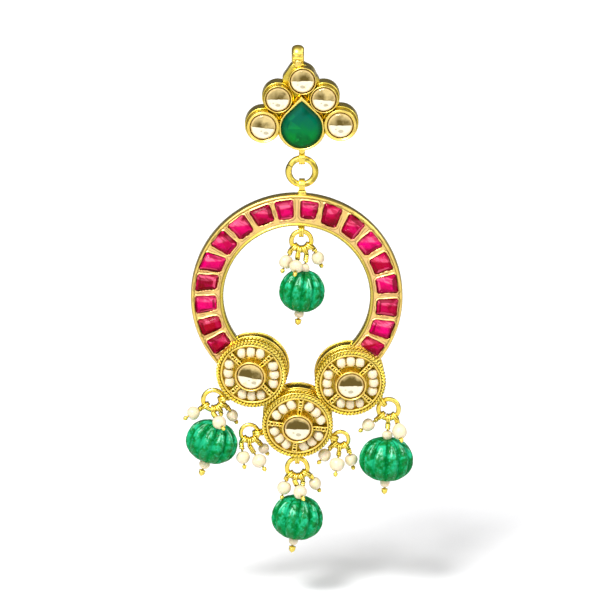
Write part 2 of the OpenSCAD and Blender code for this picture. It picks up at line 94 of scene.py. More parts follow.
# Rubies, left ones first and each side from the top down: angle from the top to the right,
# width at mid radius, radial length, lean of the inner end, tone from crimson 0 to magenta 1
Ruby = namedtuple("Ruby", "angle width length lean tone")
RUBIES = [Ruby(*row) for row in (
    [-7.4, 2.30, 2.70, 0.00, 0.75], [-22.0, 2.70, 2.45, 0.05, 0.30], [-37.5, 2.55, 2.75, 0.00, 0.55],
    [-52.2, 2.40, 2.90, 0.00, 0.60], [-67.0, 2.40, 2.95, 0.22, 1.00], [-80.2, 2.20, 2.95, 0.25, 0.08],
    [-94.2, 2.25, 2.95, 0.05, 0.75], [-108.2, 2.10, 2.95, 0.00, 0.15], [-121.2, 2.05, 2.85, 0.05, 0.20],
    [7.6, 2.30, 2.55, 0.00, 0.40], [22.1, 2.40, 2.95, 0.15, 0.25], [37.6, 2.40, 2.90, 0.12, 0.20],
    [52.6, 2.45, 2.80, 0.00, 0.85], [67.7, 2.45, 2.60, 0.05, 0.25], [81.8, 2.40, 2.90, 0.00, 0.80],
    [96.5, 2.35, 2.90, 0.10, 0.10], [110.7, 2.35, 2.95, 0.20, 0.90], [123.5, 1.80, 2.90, 0.00, 0.15])]

# Rosettes: the middle of the rope rim, its tilt down and turn, and the angle of the bars
Rosette = namedtuple("Rosette", "x up tilt turn bars")
ROSETTES = {"left": Rosette(-7.49, -39.04, 6, -8, 45), "right": Rosette(7.18, -40.41, 9, 3, 45),
            "middle": Rosette(-0.65, -46.94, 12, 0, -7)}
ROSETTE_FRONT, ROPE_R, RIM_R = 3.6, 4.98, 4.5
ROSETTE_BEZEL_R, ROSETTE_STONE_R, ROSETTE_SEAT = 2.33, 2.0, 0.2
TROUGH_FLOOR = -0.75
SEED_R, SEED_MIDDLE, SEED_SIDE = 0.64, 3.44, 3.54       # seed pearls: middle and outer ones of each three
SEED_PITCH = 2 * SEED_R + 0.1
WEB = [[-4.2, -41.0], [-2.2, -41.75], [0.2, -41.95], [2.4, -41.7], [3.6, -41.2], [5.6, -44.6], [2.8, -46.2],
       [-4.3, -46.0], [-6.2, -43.0]]

# Jump rings: centre, radius, wire radius, angle of the eye that holds it, and what carries that eye
Ring = namedtuple("Ring", "x up front radius wire angle hold_x hold_up")
RINGS = {
    "inner": Ring(-0.10, -19.20, 1.6, 1.47, 0.35, 90, -0.10, -12.20),
    "left": Ring(-13.13, -43.78, 1.0, 1.52, 0.35, 12, -7.49, -39.04),
    "middle_left": Ring(-7.78, -48.86, 1.0, 1.30, 0.30, 5, -0.65, -46.94),
    "bottom": Ring(-0.70, -54.22, 1.0, 1.52, 0.35, 90, -0.65, -46.94),
    "middle_right": Ring(5.71, -49.86, 1.0, 1.20, 0.30, 160, -0.65, -46.94),
    "right": Ring(12.84, -45.15, 1.0, 1.50, 0.35, 130, 7.18, -40.41)}
EYE_R = 0.72
# Pins: the angle of each on its ring, and its bead's place from the ring's centre. Pearls are stretched
# along the pin; a melon bead has a half length, a pearl above and below it, and the ball of its pin.
PearlPin = namedtuple("PearlPin", "ring angle x up front radius stretch")
PEARL_PINS = [PearlPin(*row) for row in (
    ("inner", 222, -2.25, -3.10, 0.50, 1.03, 1.0), ("inner", 256, -0.75, -3.35, 2.10, 1.03, 0.95),
    ("inner", 328, 2.45, -2.75, -0.50, 1.00, 1.0), ("left", 214, -2.95, -1.90, 0.40, 1.01, 0.95),
    ("left", 268, 0.90, -2.80, 2.50, 1.03, 1.05), ("left", 334, 2.80, -2.60, -0.80, 0.90, 1.0),
    ("middle_left", 228, -0.95, -3.60, 0.60, 1.00, 1.0),
    ("middle_left", 270, 1.45, -3.90, 1.40, 1.08, 1.0),
    ("middle_left", 314, 2.10, -2.70, -1.10, 0.80, 1.0),
    ("bottom", 222, -1.95, -2.95, 0.50, 1.05, 1.0), ("bottom", 258, 0.40, -3.05, 2.40, 1.05, 0.95),
    ("bottom", 330, 2.65, -2.60, -0.70, 0.95, 1.0), ("middle_right", 218, -2.35, -2.30, 0.30, 0.96, 1.0),
    ("middle_right", 264, -0.50, -3.50, 1.30, 1.12, 0.95),
    ("middle_right", 310, 1.60, -3.30, -0.60, 0.96, 1.0),
    ("right", 222, -3.00, -2.40, 0.30, 0.98, 1.0), ("right", 308, 1.60, -3.00, 1.70, 1.10, 1.2))]
MelonPin = namedtuple("MelonPin", "ring angle x up front radius half top_pearl low_pearl ball")
MELON_PINS = [MelonPin(*row) for row in (
    ("inner", 292, 0.10, -7.65, 0.0, 3.43, 3.10, 0.72, 0.72, 0.50),
    ("left", 303, -0.25, -6.40, 0.0, 3.94, 3.10, 0.72, 0.82, 0.50),
    ("bottom", 294, 0.00, -7.61, 0.0, 3.89, 3.25, 0.75, 0.72, 0.52),
    ("right", 268, -0.35, -7.71, 0.0, 4.08, 3.20, 0.78, 0.75, 0.48))]
MELON_NEST, PIN_GAP = 0.35, 0.08        # how far pearls sink into a melon bead's ends, gap above a ball
COLLAR_LEN, BALL_R, GRAINS = 0.45, 0.34, 7      # shortest collar, ball of a pearl's pin, grains round a ball
PIN_LOOP_WIRE, STEM_R = 0.18, 0.15

# Stage: the floor in millimetres, and the middle of the picture in metres
FLOOR_R, FLOOR_CORNERS = 2600, 96
PICTURE_MIDDLE = (-0.29 * MM, -MID_FRONT * MM, -28.27 * MM)


# Shared shapes

def upright(points):
    """Face millimetres to the frame's metres: x stays, up becomes Z and front becomes -Y."""
    return np.stack([points[..., 0], -points[..., 2], points[..., 1]], -1) * MM


def unit(v):
    """Vectors divided by their lengths."""
    v = np.asarray(v, float)
    return v / np.linalg.norm(v, axis=-1, keepdims=True)


def turn_about(axis, degrees):
    """Rotation matrix about one face axis: 0 is x, 1 is up and 2 is front."""
    c, s = math.cos(math.radians(degrees)), math.sin(math.radians(degrees))
    matrix = np.eye(3)
    a, b = [(1, 2), (2, 0), (0, 1)][axis]
    matrix[a, a], matrix[a, b], matrix[b, a], matrix[b, b] = c, -s, s, c
    return matrix


def spot(x, up, front=0.0, axes=None):
    """A place on the face: the axes of a local shape as columns, and its origin."""
    return (np.eye(3) if axes is None else axes), np.array([x, up, front], float)


def spot_along(origin, direction):
    """A place whose third axis runs along a direction and whose second one stays in the face plane."""
    w = unit(direction)
    v = unit(np.cross(w, [1.0, 0.0, 0.0] if abs(w[2]) > 0.999 else [0.0, 0.0, 1.0]))
    return np.stack([np.cross(v, w), v, w], -1), np.asarray(origin, float)


def spoke(degrees):
    """The directions outwards and across at an angle on the face."""
    c, s = math.cos(math.radians(degrees)), math.sin(math.radians(degrees))
    return np.array([c, s, 0.0]), np.array([-s, c, 0.0])


def rosette_spot(rosette):
    """The tilted place of a rosette's rope rim."""
    axes = turn_about(1, rosette.turn) @ turn_about(0, rosette.tilt)
    return spot(rosette.x, rosette.up, ROSETTE_FRONT, axes)


def put(grid, place):
    """Local points carried to their place."""
    axes, origin = place
    return np.asarray(grid, float) @ axes.T + origin


def soften(profile, loop=False):
    """Corners cut at a quarter and three quarters of each side, twice over."""
    line = np.asarray(profile, float)
    for _ in range(2):
        start, end = (line, np.roll(line, -1, 0)) if loop else (line[:-1], line[1:])
        cut = np.stack([0.75 * start + 0.25 * end, 0.25 * start + 0.75 * end], 1).reshape(-1, line.shape[1])
        line = cut if loop else np.concatenate([line[:1], cut, line[-1:]])
    return line


def ease(x, low, high):
    """0 below low, 1 above high and a smooth step between them."""
    t = np.clip((x - low) / (high - low), 0, 1)
    return t * t * (3 - 2 * t)


def hill(x, middle, width):
    """1 at the middle, falling off to both sides as e to the minus square of distance over width."""
    return np.exp(-((x - middle) / width) ** 2)


def ripple(a, b, seed, waves=5):
    """Smooth unevenness of hand work: a sum of sine waves over two parameters, from about -1 to 1."""
    rng = np.random.default_rng(seed)
    return sum(np.sin(a * rng.uniform(-1, 1) + b * rng.uniform(-1, 1) + rng.uniform(0, FULL_TURN))
               for _ in range(waves)) / math.sqrt(waves)


def poles(grid):
    """A grid whose first and last rows are drawn together to their middles, which closes both ends."""
    ends = [np.broadcast_to(grid[k].mean(0), grid[k].shape)[None] for k in (0, -1)]
    return np.concatenate([ends[0], grid, ends[1]])


def capped(values, rows=1):
    """Values per row for a grid that gains rows at both ends: its first and last rows repeated."""
    return np.pad(values, ((rows, rows), (0, 0)), mode="edge")


class Shell:
    """A closed surface in face millimetres, with values per point for its material."""

    def __init__(self, grid, over=False, **values):
        """Rows of points become four-sided faces; each row is a closed ring, and over joins the last row
        to the first. Points that coincide, as at a pole, become one, and the faces turn outwards."""
        rows, columns = grid.shape[:2]
        index = np.arange(rows * columns).reshape(rows, columns)
        index = np.concatenate([index, index[:, :1]], 1)
        if over:
            index = np.concatenate([index, index[:1]])
        faces = np.stack([index[:-1, :-1], index[:-1, 1:], index[1:, 1:], index[1:, :-1]], -1).reshape(-1, 4)
        points = grid.reshape(-1, 3)
        _, first, same = np.unique(np.round(points * 1e5).astype(np.int64), axis=0,
                                   return_index=True, return_inverse=True)
        self.points = points[first]
        self.faces = same.reshape(-1)[faces]
        self.values = {key: np.broadcast_to(value, (rows, columns)).reshape(-1)[first]
                       for key, value in values.items()}
        a, b, c, d = (self.points[self.faces[:, k]] for k in range(4))
        if (a * np.cross(b, c)).sum() + (a * np.cross(c, d)).sum() < 0:
            self.faces = self.faces[:, ::-1]


def tube(path, radius, sides=10, loop=False, across=(0, 0, 1), **values):
    """A circle carried along a path: each ring lies square to the path, measured from the direction
    that is square to the path and to across."""
    path = np.asarray(path, float)
    run = unit(np.roll(path, -1, 0) - np.roll(path, 1, 0) if loop else np.gradient(path, axis=0))
    side = unit(np.cross(run, np.asarray(across, float)))
    other = np.cross(side, run)
    turn = np.linspace(0, FULL_TURN, sides, endpoint=False)
    ring = np.cos(turn)[None, :, None] * side[:, None] + np.sin(turn)[None, :, None] * other[:, None]
    grid = path[:, None] + np.broadcast_to(radius, len(path))[:, None, None] * ring
    return Shell(grid if loop else poles(grid), over=loop, **values)


def rod(start, end, radius, sides=12, **values):
    """A straight tube between two points."""
    start, end = np.asarray(start, float), np.asarray(end, float)
    run = unit(end - start)
    across = (1, 0, 0) if abs(run[0]) < 0.7 else (0, 0, 1)
    steps = np.linspace(0, 1, 4)[:, None]
    return tube(start + (end - start) * steps, radius, sides, across=across, **values)


def hoop_path(centre, axis, radius, count, gap=0.0, start=0.0):
    """Points of a circle round an axis through a centre, open by a small gap where one is given."""
    axes, origin = spot_along(centre, axis)
    turn = math.radians(start) + np.linspace(gap / 2, FULL_TURN - gap / 2, count, endpoint=gap > 0)
    return put(radius * np.stack([np.cos(turn), np.sin(turn), 0 * turn], -1), (axes, origin))


def wire_ring(centre, axis, radius, wire, count, sides, **values):
    """A torus: a circle of wire round an axis."""
    return tube(hoop_path(centre, axis, radius, count), wire, sides, loop=True, across=axis, **values)


def lathe(profile, place, sides, over=False, **values):
    """A profile of radius and height turned round the third axis of its place."""
    profile = np.asarray(profile, float)
    turn = np.linspace(0, FULL_TURN, sides, endpoint=False)
    grid = np.stack([profile[:, :1] * np.cos(turn), profile[:, :1] * np.sin(turn),
                     np.broadcast_to(profile[:, 1:2], (len(profile), sides))], -1)
    return Shell(put(grid, place), over=over, **values)


def stack(outline, rows, place, **values):
    """Copies of an outline at several heights, each scaled towards its origin; scale 0 closes an end."""
    outline, rows = np.asarray(outline, float), np.asarray(rows, float)
    flat = rows[:, None, :1] * outline[None]
    heights = np.broadcast_to(rows[:, None, 1:2], flat.shape[:2] + (1,))
    return Shell(put(np.concatenate([flat, heights], -1), place), **values)


def plate(corners, back, front, edge=0.12, **values):
    """A flat plate of a softened outline with rounded edges."""
    outline = soften(corners, loop=True)
    middle = outline.mean(0)
    outline = outline - middle
    inset = 1 - edge / np.linalg.norm(outline, axis=1).mean()
    rows = [[0, back], [inset, back], [1, back + edge], [1, front - edge],
            [1 - (1 - inset) * 0.3, front - 0.3 * edge], [inset, front], [0, front]]
    return stack(outline, rows, spot(*middle), **values)


def ball(centre, radius, sides=16, rows=10, **values):
    """A small sphere by its angles from pole to pole and round its axis."""
    t = np.linspace(0, math.pi, rows)
    return lathe(np.stack([radius * np.sin(t), radius * np.cos(t)], -1), spot(*centre), sides, **values)


def coil(start, direction, length, radius, wire, turns, **values):
    """A wire wound round a straight line: radius times cosine and sine, rising evenly."""
    t = np.linspace(0, 1, int(turns * 12) + 1)
    turn = FULL_TURN * turns * t
    path = np.stack([radius * np.cos(turn), radius * np.sin(turn), length * t], -1)
    return tube(put(path, spot_along(start, direction)), wire, 6, across=direction, **values)


def carry(mesh, key, values, domain="POINT"):
    """Gives a mesh a value for each point or face, which its material reads."""
    mesh.attributes.new(key, "FLOAT", domain).data.foreach_set("value", values.astype(np.float32))


def make_piece(name, shells, material, body, replaced, sharp=None, facets=False):
    """One joined mesh of several shells, in place, riding on its body and standing for its nodes. Sharp is
    the angle past which an edge stays sharp, or 0 for flat faces; facets gives each face a random value."""
    counts = np.cumsum([0] + [len(s.points) for s in shells])
    points = upright(np.concatenate([s.points for s in shells]))
    faces = np.concatenate([s.faces + start for s, start in zip(shells, counts)])
    same = faces == np.roll(faces, -1, 1)
    whole, once = faces[same.sum(1) == 0], same.sum(1) == 1
    begin = same[once].argmax(1)[:, None] + np.arange(1, 4)
    corners = np.take_along_axis(faces[once], begin % 4, 1)
    mesh = bpy.data.meshes.new(name)
    mesh.from_pydata(points.tolist(), [], whole.tolist() + corners.tolist())
    mesh.polygons.foreach_set("use_smooth", np.full(len(mesh.polygons), sharp != 0))
    if sharp:
        mesh.set_sharp_from_angle(angle=math.radians(sharp))
    for key in sorted({key for s in shells for key in s.values}):
        carry(mesh, key, np.concatenate([s.values.get(key, np.zeros(len(s.points))) for s in shells]))
    if facets:
        carry(mesh, "facet", np.random.default_rng(len(points)).random(len(mesh.polygons)), "FACE")
    if mesh.validate():
        raise RuntimeError(f"{name} has faulty faces")
    mesh.materials.append(material)
    piece = bpy.data.objects.new(name, mesh)
    bpy.context.scene.collection.objects.link(piece)
    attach(piece, body)
    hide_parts(*replaced)


def make_gold(name, shells, finish, body, replaced):
    """A piece of gold work."""
    make_piece(name, shells, finish, body, replaced, sharp=50)


# Materials

def joins(operation, swapped=False):
    """A method of Flow that adds a Math node for one of Python's operators."""
    def join(flow, other):
        return flow.math(operation, *((other, flow) if swapped else (flow, other)))
    return join


class Flow:
    """A value that runs between nodes. Python's operators on it add Math nodes."""

    def __init__(self, paint, socket):
        self.paint, self.socket = paint, socket

    def math(self, operation, *values):
        """The result of one Math node."""
        made = self.paint.node("ShaderNodeMath", {"operation": operation}, dict(enumerate(values)))
        return Flow(self.paint, made.outputs[0])

    __add__, __radd__ = joins("ADD"), joins("ADD", True)
    __sub__, __rsub__ = joins("SUBTRACT"), joins("SUBTRACT", True)
    __mul__, __rmul__ = joins("MULTIPLY"), joins("MULTIPLY", True)
    __pow__ = joins("POWER")

    def root(self):
        """The square root."""
        return self.math("SQRT", self)

    def size(self):
        """The value without its sign."""
        return self.math("ABSOLUTE", self)

    def step(self, low, high, start=0.0, end=1.0):
        """A smooth step from start to end as this value goes from low to high, or down where low is the
        greater of the two."""
        made = self.paint.node("ShaderNodeMapRange", {"interpolation_type": "SMOOTHSTEP", "clamp": True},
                               {"Value": self, "From Min": low, "From Max": high,
                                "To Min": start, "To Max": end})
        return Flow(self.paint, made.outputs[0])


class Paint:
    """The node tree of one material, or of the world, built from expressions."""

    def __init__(self, block):
        block.use_nodes = True
        self.block, self.tree = block, block.node_tree
        self.tree.nodes.clear()

    def node(self, kind, settings=None, sockets=None):
        """A node of a kind: its settings first, then the values or links of its sockets."""
        made = self.tree.nodes.new(kind)
        for key, value in (settings or {}).items():
            setattr(made, key, value)
        for key, value in (sockets or {}).items():
            if isinstance(value, Flow):
                self.tree.links.new(value.socket, made.inputs[key])
            else:
                made.inputs[key].default_value = value
        return made

    def value(self, name):
        """A value per point that the mesh carries."""
        return Flow(self, self.node("ShaderNodeAttribute", {"attribute_name": name}).outputs["Fac"])

    def values(self, *names):
        """Several values per point."""
        return [self.value(name) for name in names]

    def place(self):
        """Object coordinates in metres."""
        return Flow(self, self.node("ShaderNodeTexCoord").outputs["Object"])

    def noise(self, size, detail=2.0, where=None):
        """Noise whose lumps are about size millimetres across, from 0 to 1."""
        made = self.node("ShaderNodeTexNoise", None,
                         {"Vector": where or self.place(), "Scale": 1 / (size * MM), "Detail": detail})
        return Flow(self, made.outputs["Fac"])

    def cells(self, size, where):
        """A random value for each cell of a Voronoi pattern of about size millimetres."""
        made = self.node("ShaderNodeTexVoronoi", None, {"Vector": where, "Scale": 1 / (size * MM)})
        return self.parts(Flow(self, made.outputs["Color"]))[0]

    def parts(self, vector):
        """The three values of a vector."""
        made = self.node("ShaderNodeSeparateXYZ", None, {0: vector})
        return [Flow(self, made.outputs[k]) for k in range(3)]

    def joined(self, x, y, z):
        """A vector from three values."""
        return Flow(self, self.node("ShaderNodeCombineXYZ", None, {0: x, 1: y, 2: z}).outputs[0])

    def ray(self, kind):
        """1 for rays of one kind, such as Is Glossy Ray, and 0 for others."""
        return Flow(self, self.node("ShaderNodeLightPath").outputs[kind])

    def mix(self, a, b, share):
        """Colour a turned into colour b by a share from 0 to 1."""
        a, b = (c if isinstance(c, Flow) else (*c, 1.0) for c in (a, b))
        made = self.node("ShaderNodeMix", {"data_type": "RGBA", "clamp_factor": True}, {0: share, 6: a, 7: b})
        return Flow(self, made.outputs[2])

    def shelter(self, reach):
        """How open a point is to its own piece's surroundings within reach millimetres."""
        made = self.node("ShaderNodeAmbientOcclusion", {"samples": 8, "only_local": True},
                         {"Distance": reach * MM})
        return Flow(self, made.outputs["AO"])

    def bump(self, height, depth):
        """A normal from a height between 0 and 1 that stands depth millimetres proud."""
        sockets = {"Height": height, "Distance": depth * MM, "Strength": 1.0}
        return Flow(self, self.node("ShaderNodeBump", None, sockets).outputs[0])

    def finish(self, **sockets):
        """The surface shader and the output; names use an underscore for a space."""
        shader = self.node("ShaderNodeBsdfPrincipled", None,
                           {key.replace("_", " "): value for key, value in sockets.items()})
        self.node("ShaderNodeOutputMaterial", None, {"Surface": Flow(self, shader.outputs[0])})
        return self.block


def new_finish(name):
    """An empty material to paint."""
    return Paint(bpy.data.materials.new(name))


def gold_finish(look, name):
    """Yellow gold with soft scratches. Painted shade makes it olive brown in hollows and narrow gaps, and a
    painted reflection of the gold around makes it a deeper yellow where it is enclosed. Foil round the stones
    is paler, takes a painted reflection of red beside a ruby, and is a yellow satin under the seed pearls."""
    p = new_finish(name)
    lumps, grain = p.noise(0.9, 3.0), p.noise(0.16, 2.0)
    open_air, near_air = p.shelter(1.6), p.shelter(0.32)
    hollow, foil, blush, bed = p.values("groove", "pale", "blush", "bed")
    tone = p.mix(look.rich, look.warm, lumps.step(0.42, 0.70) * 0.7)
    # Painted reflection: where little space is open round a point, the colour turns to the gold it would
    # reflect.
    tone = p.mix(look.painted_gold_reflection, tone, open_air.step(0.15, 0.65))
    tone = p.mix(tone, look.foil, foil * (0.8 + 0.4 * lumps))
    # Painted reflection of the ruby's red on the foil beside each stone.
    tone = p.mix(tone, look.blush, blush * 0.6)
    tone = p.mix(tone, look.bed, bed)
    # Painted shade: olive brown in narrow gaps and wherever the mesh marks painted shade.
    tone = p.mix(look.deep, tone, near_air.step(0.25, 0.80) * (1.0 - hollow))
    rough = look.roughness + 0.14 * lumps + 0.12 * (1.0 - near_air) + 0.08 * grain + 0.16 * foil
    return p.finish(Base_Color=tone, Metallic=1.0 - 0.75 * bed, Roughness=rough + 0.1 * bed,
                    Normal=p.bump(lumps * 0.8 + grain * 0.3, look.hammer))


def ruby_finish(look):
    """Foiled ruby: crimson to magenta by stone, each facet its own tone. Painted highlights: slanting streaks
    of pink light and random crown facets lit pink. Painted shade: dark zones where the foil behind lies in
    shade, the end towards the hoop's centre and random dark crown facets."""
    p = new_finish("ruby")
    tone, facet, aside, along, pick = p.values("tone", "facet", "aside", "along", "pick")
    slant = aside * 0.7 + along * (0.6 + pick)
    across = along * 0.7 - aside * (0.6 + pick)
    panes = p.cells(1.25, p.joined(slant * MM + pick, across * (0.55 * MM), pick))
    streak = p.noise(0.75, 2.0, p.joined(slant * (1.5 * MM) + pick, across * (0.42 * MM), pick))
    shade = p.noise(1.5, 2.0, p.joined(aside * MM + pick, along * MM, pick))
    body = p.mix(look.ruby_dark, look.ruby_bright, tone * 0.75 + panes * 0.5 - 0.15)
    # Painted shade: dark zones where the foil behind lies in shade.
    body = p.mix(body, look.ruby_painted_shade, shade.step(0.50, 0.66) * (0.75 - 0.3 * tone))
    # Painted highlight: a streak of pink light across the outer part of the stone, and painted shade at its
    # end towards the hoop's centre.
    level = along + aside * (pick - 0.5) * 0.6
    painted_highlight = level.step(0.20, 0.50) * level.step(1.35, 0.95) * (0.25 + 0.75 * streak.step(0.42, 0.60))
    body = p.mix(body, look.ruby_painted_shade, level.step(-0.35, -1.0) * 0.5)
    body = p.mix(body, look.ruby_painted_light, painted_highlight * (0.60 + 0.35 * tone))
    # Painted glints and shade: random crown facets are lit pink or darkened.
    crown = p.value("crown").step(0.58, 0.62)
    body = p.mix(body, look.ruby_painted_light, facet.step(0.80, 0.97) * crown * 0.5)
    body = p.mix(body, look.ruby_painted_shade, facet.step(0.50, 0.20) * crown * 0.75)
    return p.finish(Base_Color=body, Roughness=look.polish + 0.06 * streak, Coat_Weight=0.03,
                    Specular_IOR_Level=0.06, Normal=p.bump(p.noise(0.5), 0.012))


def polki_finish(look):
    """Flat-cut clear stone over foil, painted with the reflection that the foil shows: the upper part is a
    painted reflection of a brown room with a lighter middle, the lower part a painted reflection of pale
    light with two dark blots, and a thin dark line runs round the edge. In a stone set further in, the
    lower half of the painted room is darker."""
    p = new_finish("foiled_stone")
    aside, along, pick, deep = p.values("aside", "along", "pick", "deep")
    grain, fine = p.noise(0.8, 3.0), p.noise(0.3, 2.0)
    away = (aside * aside + along * along).root()
    high = along + aside * (pick * 0.24 - 0.10) + grain * 0.16 - 0.04 + (pick - 0.5) * 0.14
    upper = high.step(0.0, 0.06) * (away + grain * 0.10).step(0.99, 0.92)
    middle = (aside + (pick - 0.5) * 0.8 + (grain - 0.5) * 0.6).size().step(0.10, 0.60)
    lift = high.step(0.30, 0.90) * 0.65 + middle * 0.50 + (grain - 0.56) * 1.3 + (pick - 0.5) * 0.3
    lift = lift + 0.10 - deep * (0.15 + 0.55 * high.step(0.95, 0.35))
    # Painted reflection: the upper part is painted as a dark room with tan light in its middle.
    room = p.mix(look.painted_reflection_dark, look.painted_reflection_light, lift)
    room = p.mix(room, look.painted_reflection_dark, high.step(0.16, 0.03) * 0.6)
    # Painted reflection of pale light in the lower part, with golden patches and dark blots.
    lower = p.mix(look.painted_reflection_pale, look.foil_shade, grain.step(0.52, 0.75) * 0.55)
    for x, y, size in ((0.04, -0.46, 0.25), (-0.34, -0.30, 0.13)):
        blot = ((aside - x - (pick - 0.5) * 0.5) ** 2 + ((along - y) ** 2) * 2.2).root() + fine * 0.14
        lower = p.mix(lower, look.painted_reflection_dark, blot.step(size + 0.07, size - 0.03) * 0.5)
    tone = p.mix(lower, room, upper)
    tone = p.mix(tone, look.foil_shade, away.step(0.80, 0.88) * 0.6)
    tone = p.mix(tone, look.stone_edge, away.step(0.90, 0.96) * 0.9)
    return p.finish(Base_Color=tone, Roughness=look.polish + 0.10 * grain, Coat_Weight=0.08,
                    Specular_IOR_Level=0.16, Normal=p.bump(grain, 0.012))


def emerald_finish(look):
    """Dark green glass, teal towards the tip, with painted light where light leaves it at the round end and
    on random facets, and painted shade that makes it nearly black at its edge."""
    p = new_finish("emerald")
    along, edge, facet = p.values("along", "edge", "facet")
    clouds, slow = p.noise(1.2, 3.0), p.noise(2.6, 1.0)
    tone = p.mix(look.emerald_low, look.emerald_high, (along + clouds * 0.7).step(-0.30, 1.0))
    tone = p.mix(tone, look.emerald_deep, slow.step(0.46, 0.68) * 0.7)
    # Painted light: lighter clouds in the lower part, where light leaves the stone, and on random facets.
    tone = p.mix(tone, look.emerald_painted_light, clouds.step(0.58, 0.72) * along.step(0.1, -0.7) * 0.7)
    tone = p.mix(tone, look.emerald_painted_light, facet.step(0.85, 1.0) * 0.3)
    # Painted shade: nearly black at the edge.
    tone = p.mix(tone, look.emerald_deep, edge.step(0.72, 0.98) * 0.85)
    return p.finish(Base_Color=tone, Roughness=look.polish + 0.05 * clouds, Coat_Weight=0.03,
                    Specular_IOR_Level=0.07, Normal=p.bump(clouds, 0.02))


def pearl_finish(look):
    """Cream pearl: soft uneven tint, golden where its neighbours shade it, and a satin coat."""
    p = new_finish("pearl")
    tint, fine = p.noise(1.1, 2.0), p.noise(0.25, 3.0)
    tone = p.mix(look.pearl, look.pearl_blush, tint.step(0.42, 0.7))
    tone = p.mix(tone, look.seed_pearl, p.value("seed"))
    tone = p.mix(look.pearl_shade, tone, p.shelter(1.2).step(0.15, 0.95))
    tone = p.mix(tone, look.pearl_shade, p.value("groove"))
    return p.finish(Base_Color=tone, Roughness=0.24 + 0.12 * fine, Coat_Weight=0.30, Coat_Roughness=0.08,
                    Specular_IOR_Level=0.3, Subsurface_Weight=0.12, Subsurface_Scale=0.8 * MM,
                    Normal=p.bump(tint * 0.8 + fine * 0.3, 0.02))


def melon_finish(look):
    """Carved green stone: lively green on the ridges with mint clouds, painted light that keeps the clouds to
    the upper part, painted highlights as pale strokes near the top, painted shade in the cuts, and dull along
    the seams between the lobes."""
    p = new_finish("carved_green")
    cut, along, fleck, seam = p.values("groove", "along", "fleck", "seam")
    clouds, fine = p.noise(1.1, 3.0), p.noise(0.45, 2.0)
    # Painted light: the mint clouds show on the upper part only.
    light = clouds.step(0.46, 0.62) * along.step(-0.55, 0.45)
    tone = p.mix(look.melon, look.melon_light, light * 0.85)
    tone = p.mix(tone, look.melon_deep, clouds.step(0.46, 0.34) * 0.55)
    tone = p.mix(tone, look.melon_light, fine.step(0.55, 0.68) * 0.4)
    # Painted shade in the cuts.
    tone = p.mix(tone, look.melon_deep, cut.step(0.12, 0.85) * 0.85)
    # Painted highlights: pale strokes near the top.
    tone = p.mix(tone, look.melon_painted_glint, fleck * fine.step(0.36, 0.52))
    return p.finish(Base_Color=tone, Roughness=0.10 + 0.08 * clouds + 0.7 * seam,
                    Coat_Weight=0.35 * (1.0 - seam.step(0.05, 0.35)), Specular_IOR_Level=0.03,
                    Normal=p.bump(clouds * 0.6 + fine * 0.4, 0.05))


def colour(label, text, default):
    """A colour that a user can change."""
    return bpy.props.FloatVectorProperty(name=label, description=text, default=default, size=3,
                                         subtype="COLOR", min=0.0, max=1.0)


def number(label, text, default, low=0.0, high=1.0, **more):
    """A number that a user can change."""
    return bpy.props.FloatProperty(name=label, description=text, default=default, min=low, max=high, **more)


def distance(label, text, default, low, high):
    """A length that a user can change, given here in millimetres."""
    return number(label, text, default * MM, low * MM, high * MM, unit="LENGTH")


def whole_number(label, text, default, low, high):
    """A whole number that a user can change."""
    return bpy.props.IntProperty(name=label, description=text, default=default, min=low, max=high)


class EarringGold(bpy.types.PropertyGroup):
    """Colours and surface of the gold work."""
    rich: colour("Gold", "Main colour of the gold", (1.0, 0.79, 0.16))
    warm: colour("Warm gold", "Slightly redder patches", (0.97, 0.73, 0.08))
    foil: colour("Foil", "Paler soft gold pressed round the stones", (1.0, 0.64, 0.27))
    # Painted reflection of the gold around, used where the gold is enclosed.
    painted_gold_reflection: colour("Glow", "Gold that mostly sees other gold", (0.98, 0.74, 0.03))
    # Painted reflection of a ruby's red on the foil.
    blush: colour("Blush", "Foil that catches the red of a ruby", (0.98, 0.36, 0.20))
    bed: colour("Bed", "Satin foil under the seed pearls", (1.0, 0.75, 0.05))
    # Painted shade in hollows and narrow gaps.
    deep: colour("Hollows", "Gold in narrow gaps", (0.16, 0.115, 0.0))
    roughness: number("Roughness", "Least roughness of the gold", 0.15)
    hammer: number("Hammering", "Depth of the hand marks in millimetres", 0.035, 0.0, 0.2)
    rope_turns: whole_number("Rope turns", "Twists of the strands round a rosette", 30, 8, 40)
    rope_strand: distance("Rope strand", "Radius of one strand", 0.185, 0.1, 0.25)
    wrap_wire: distance("Wrap wire", "Radius of the wire wound on each pin", 0.125, 0.05, 0.14)


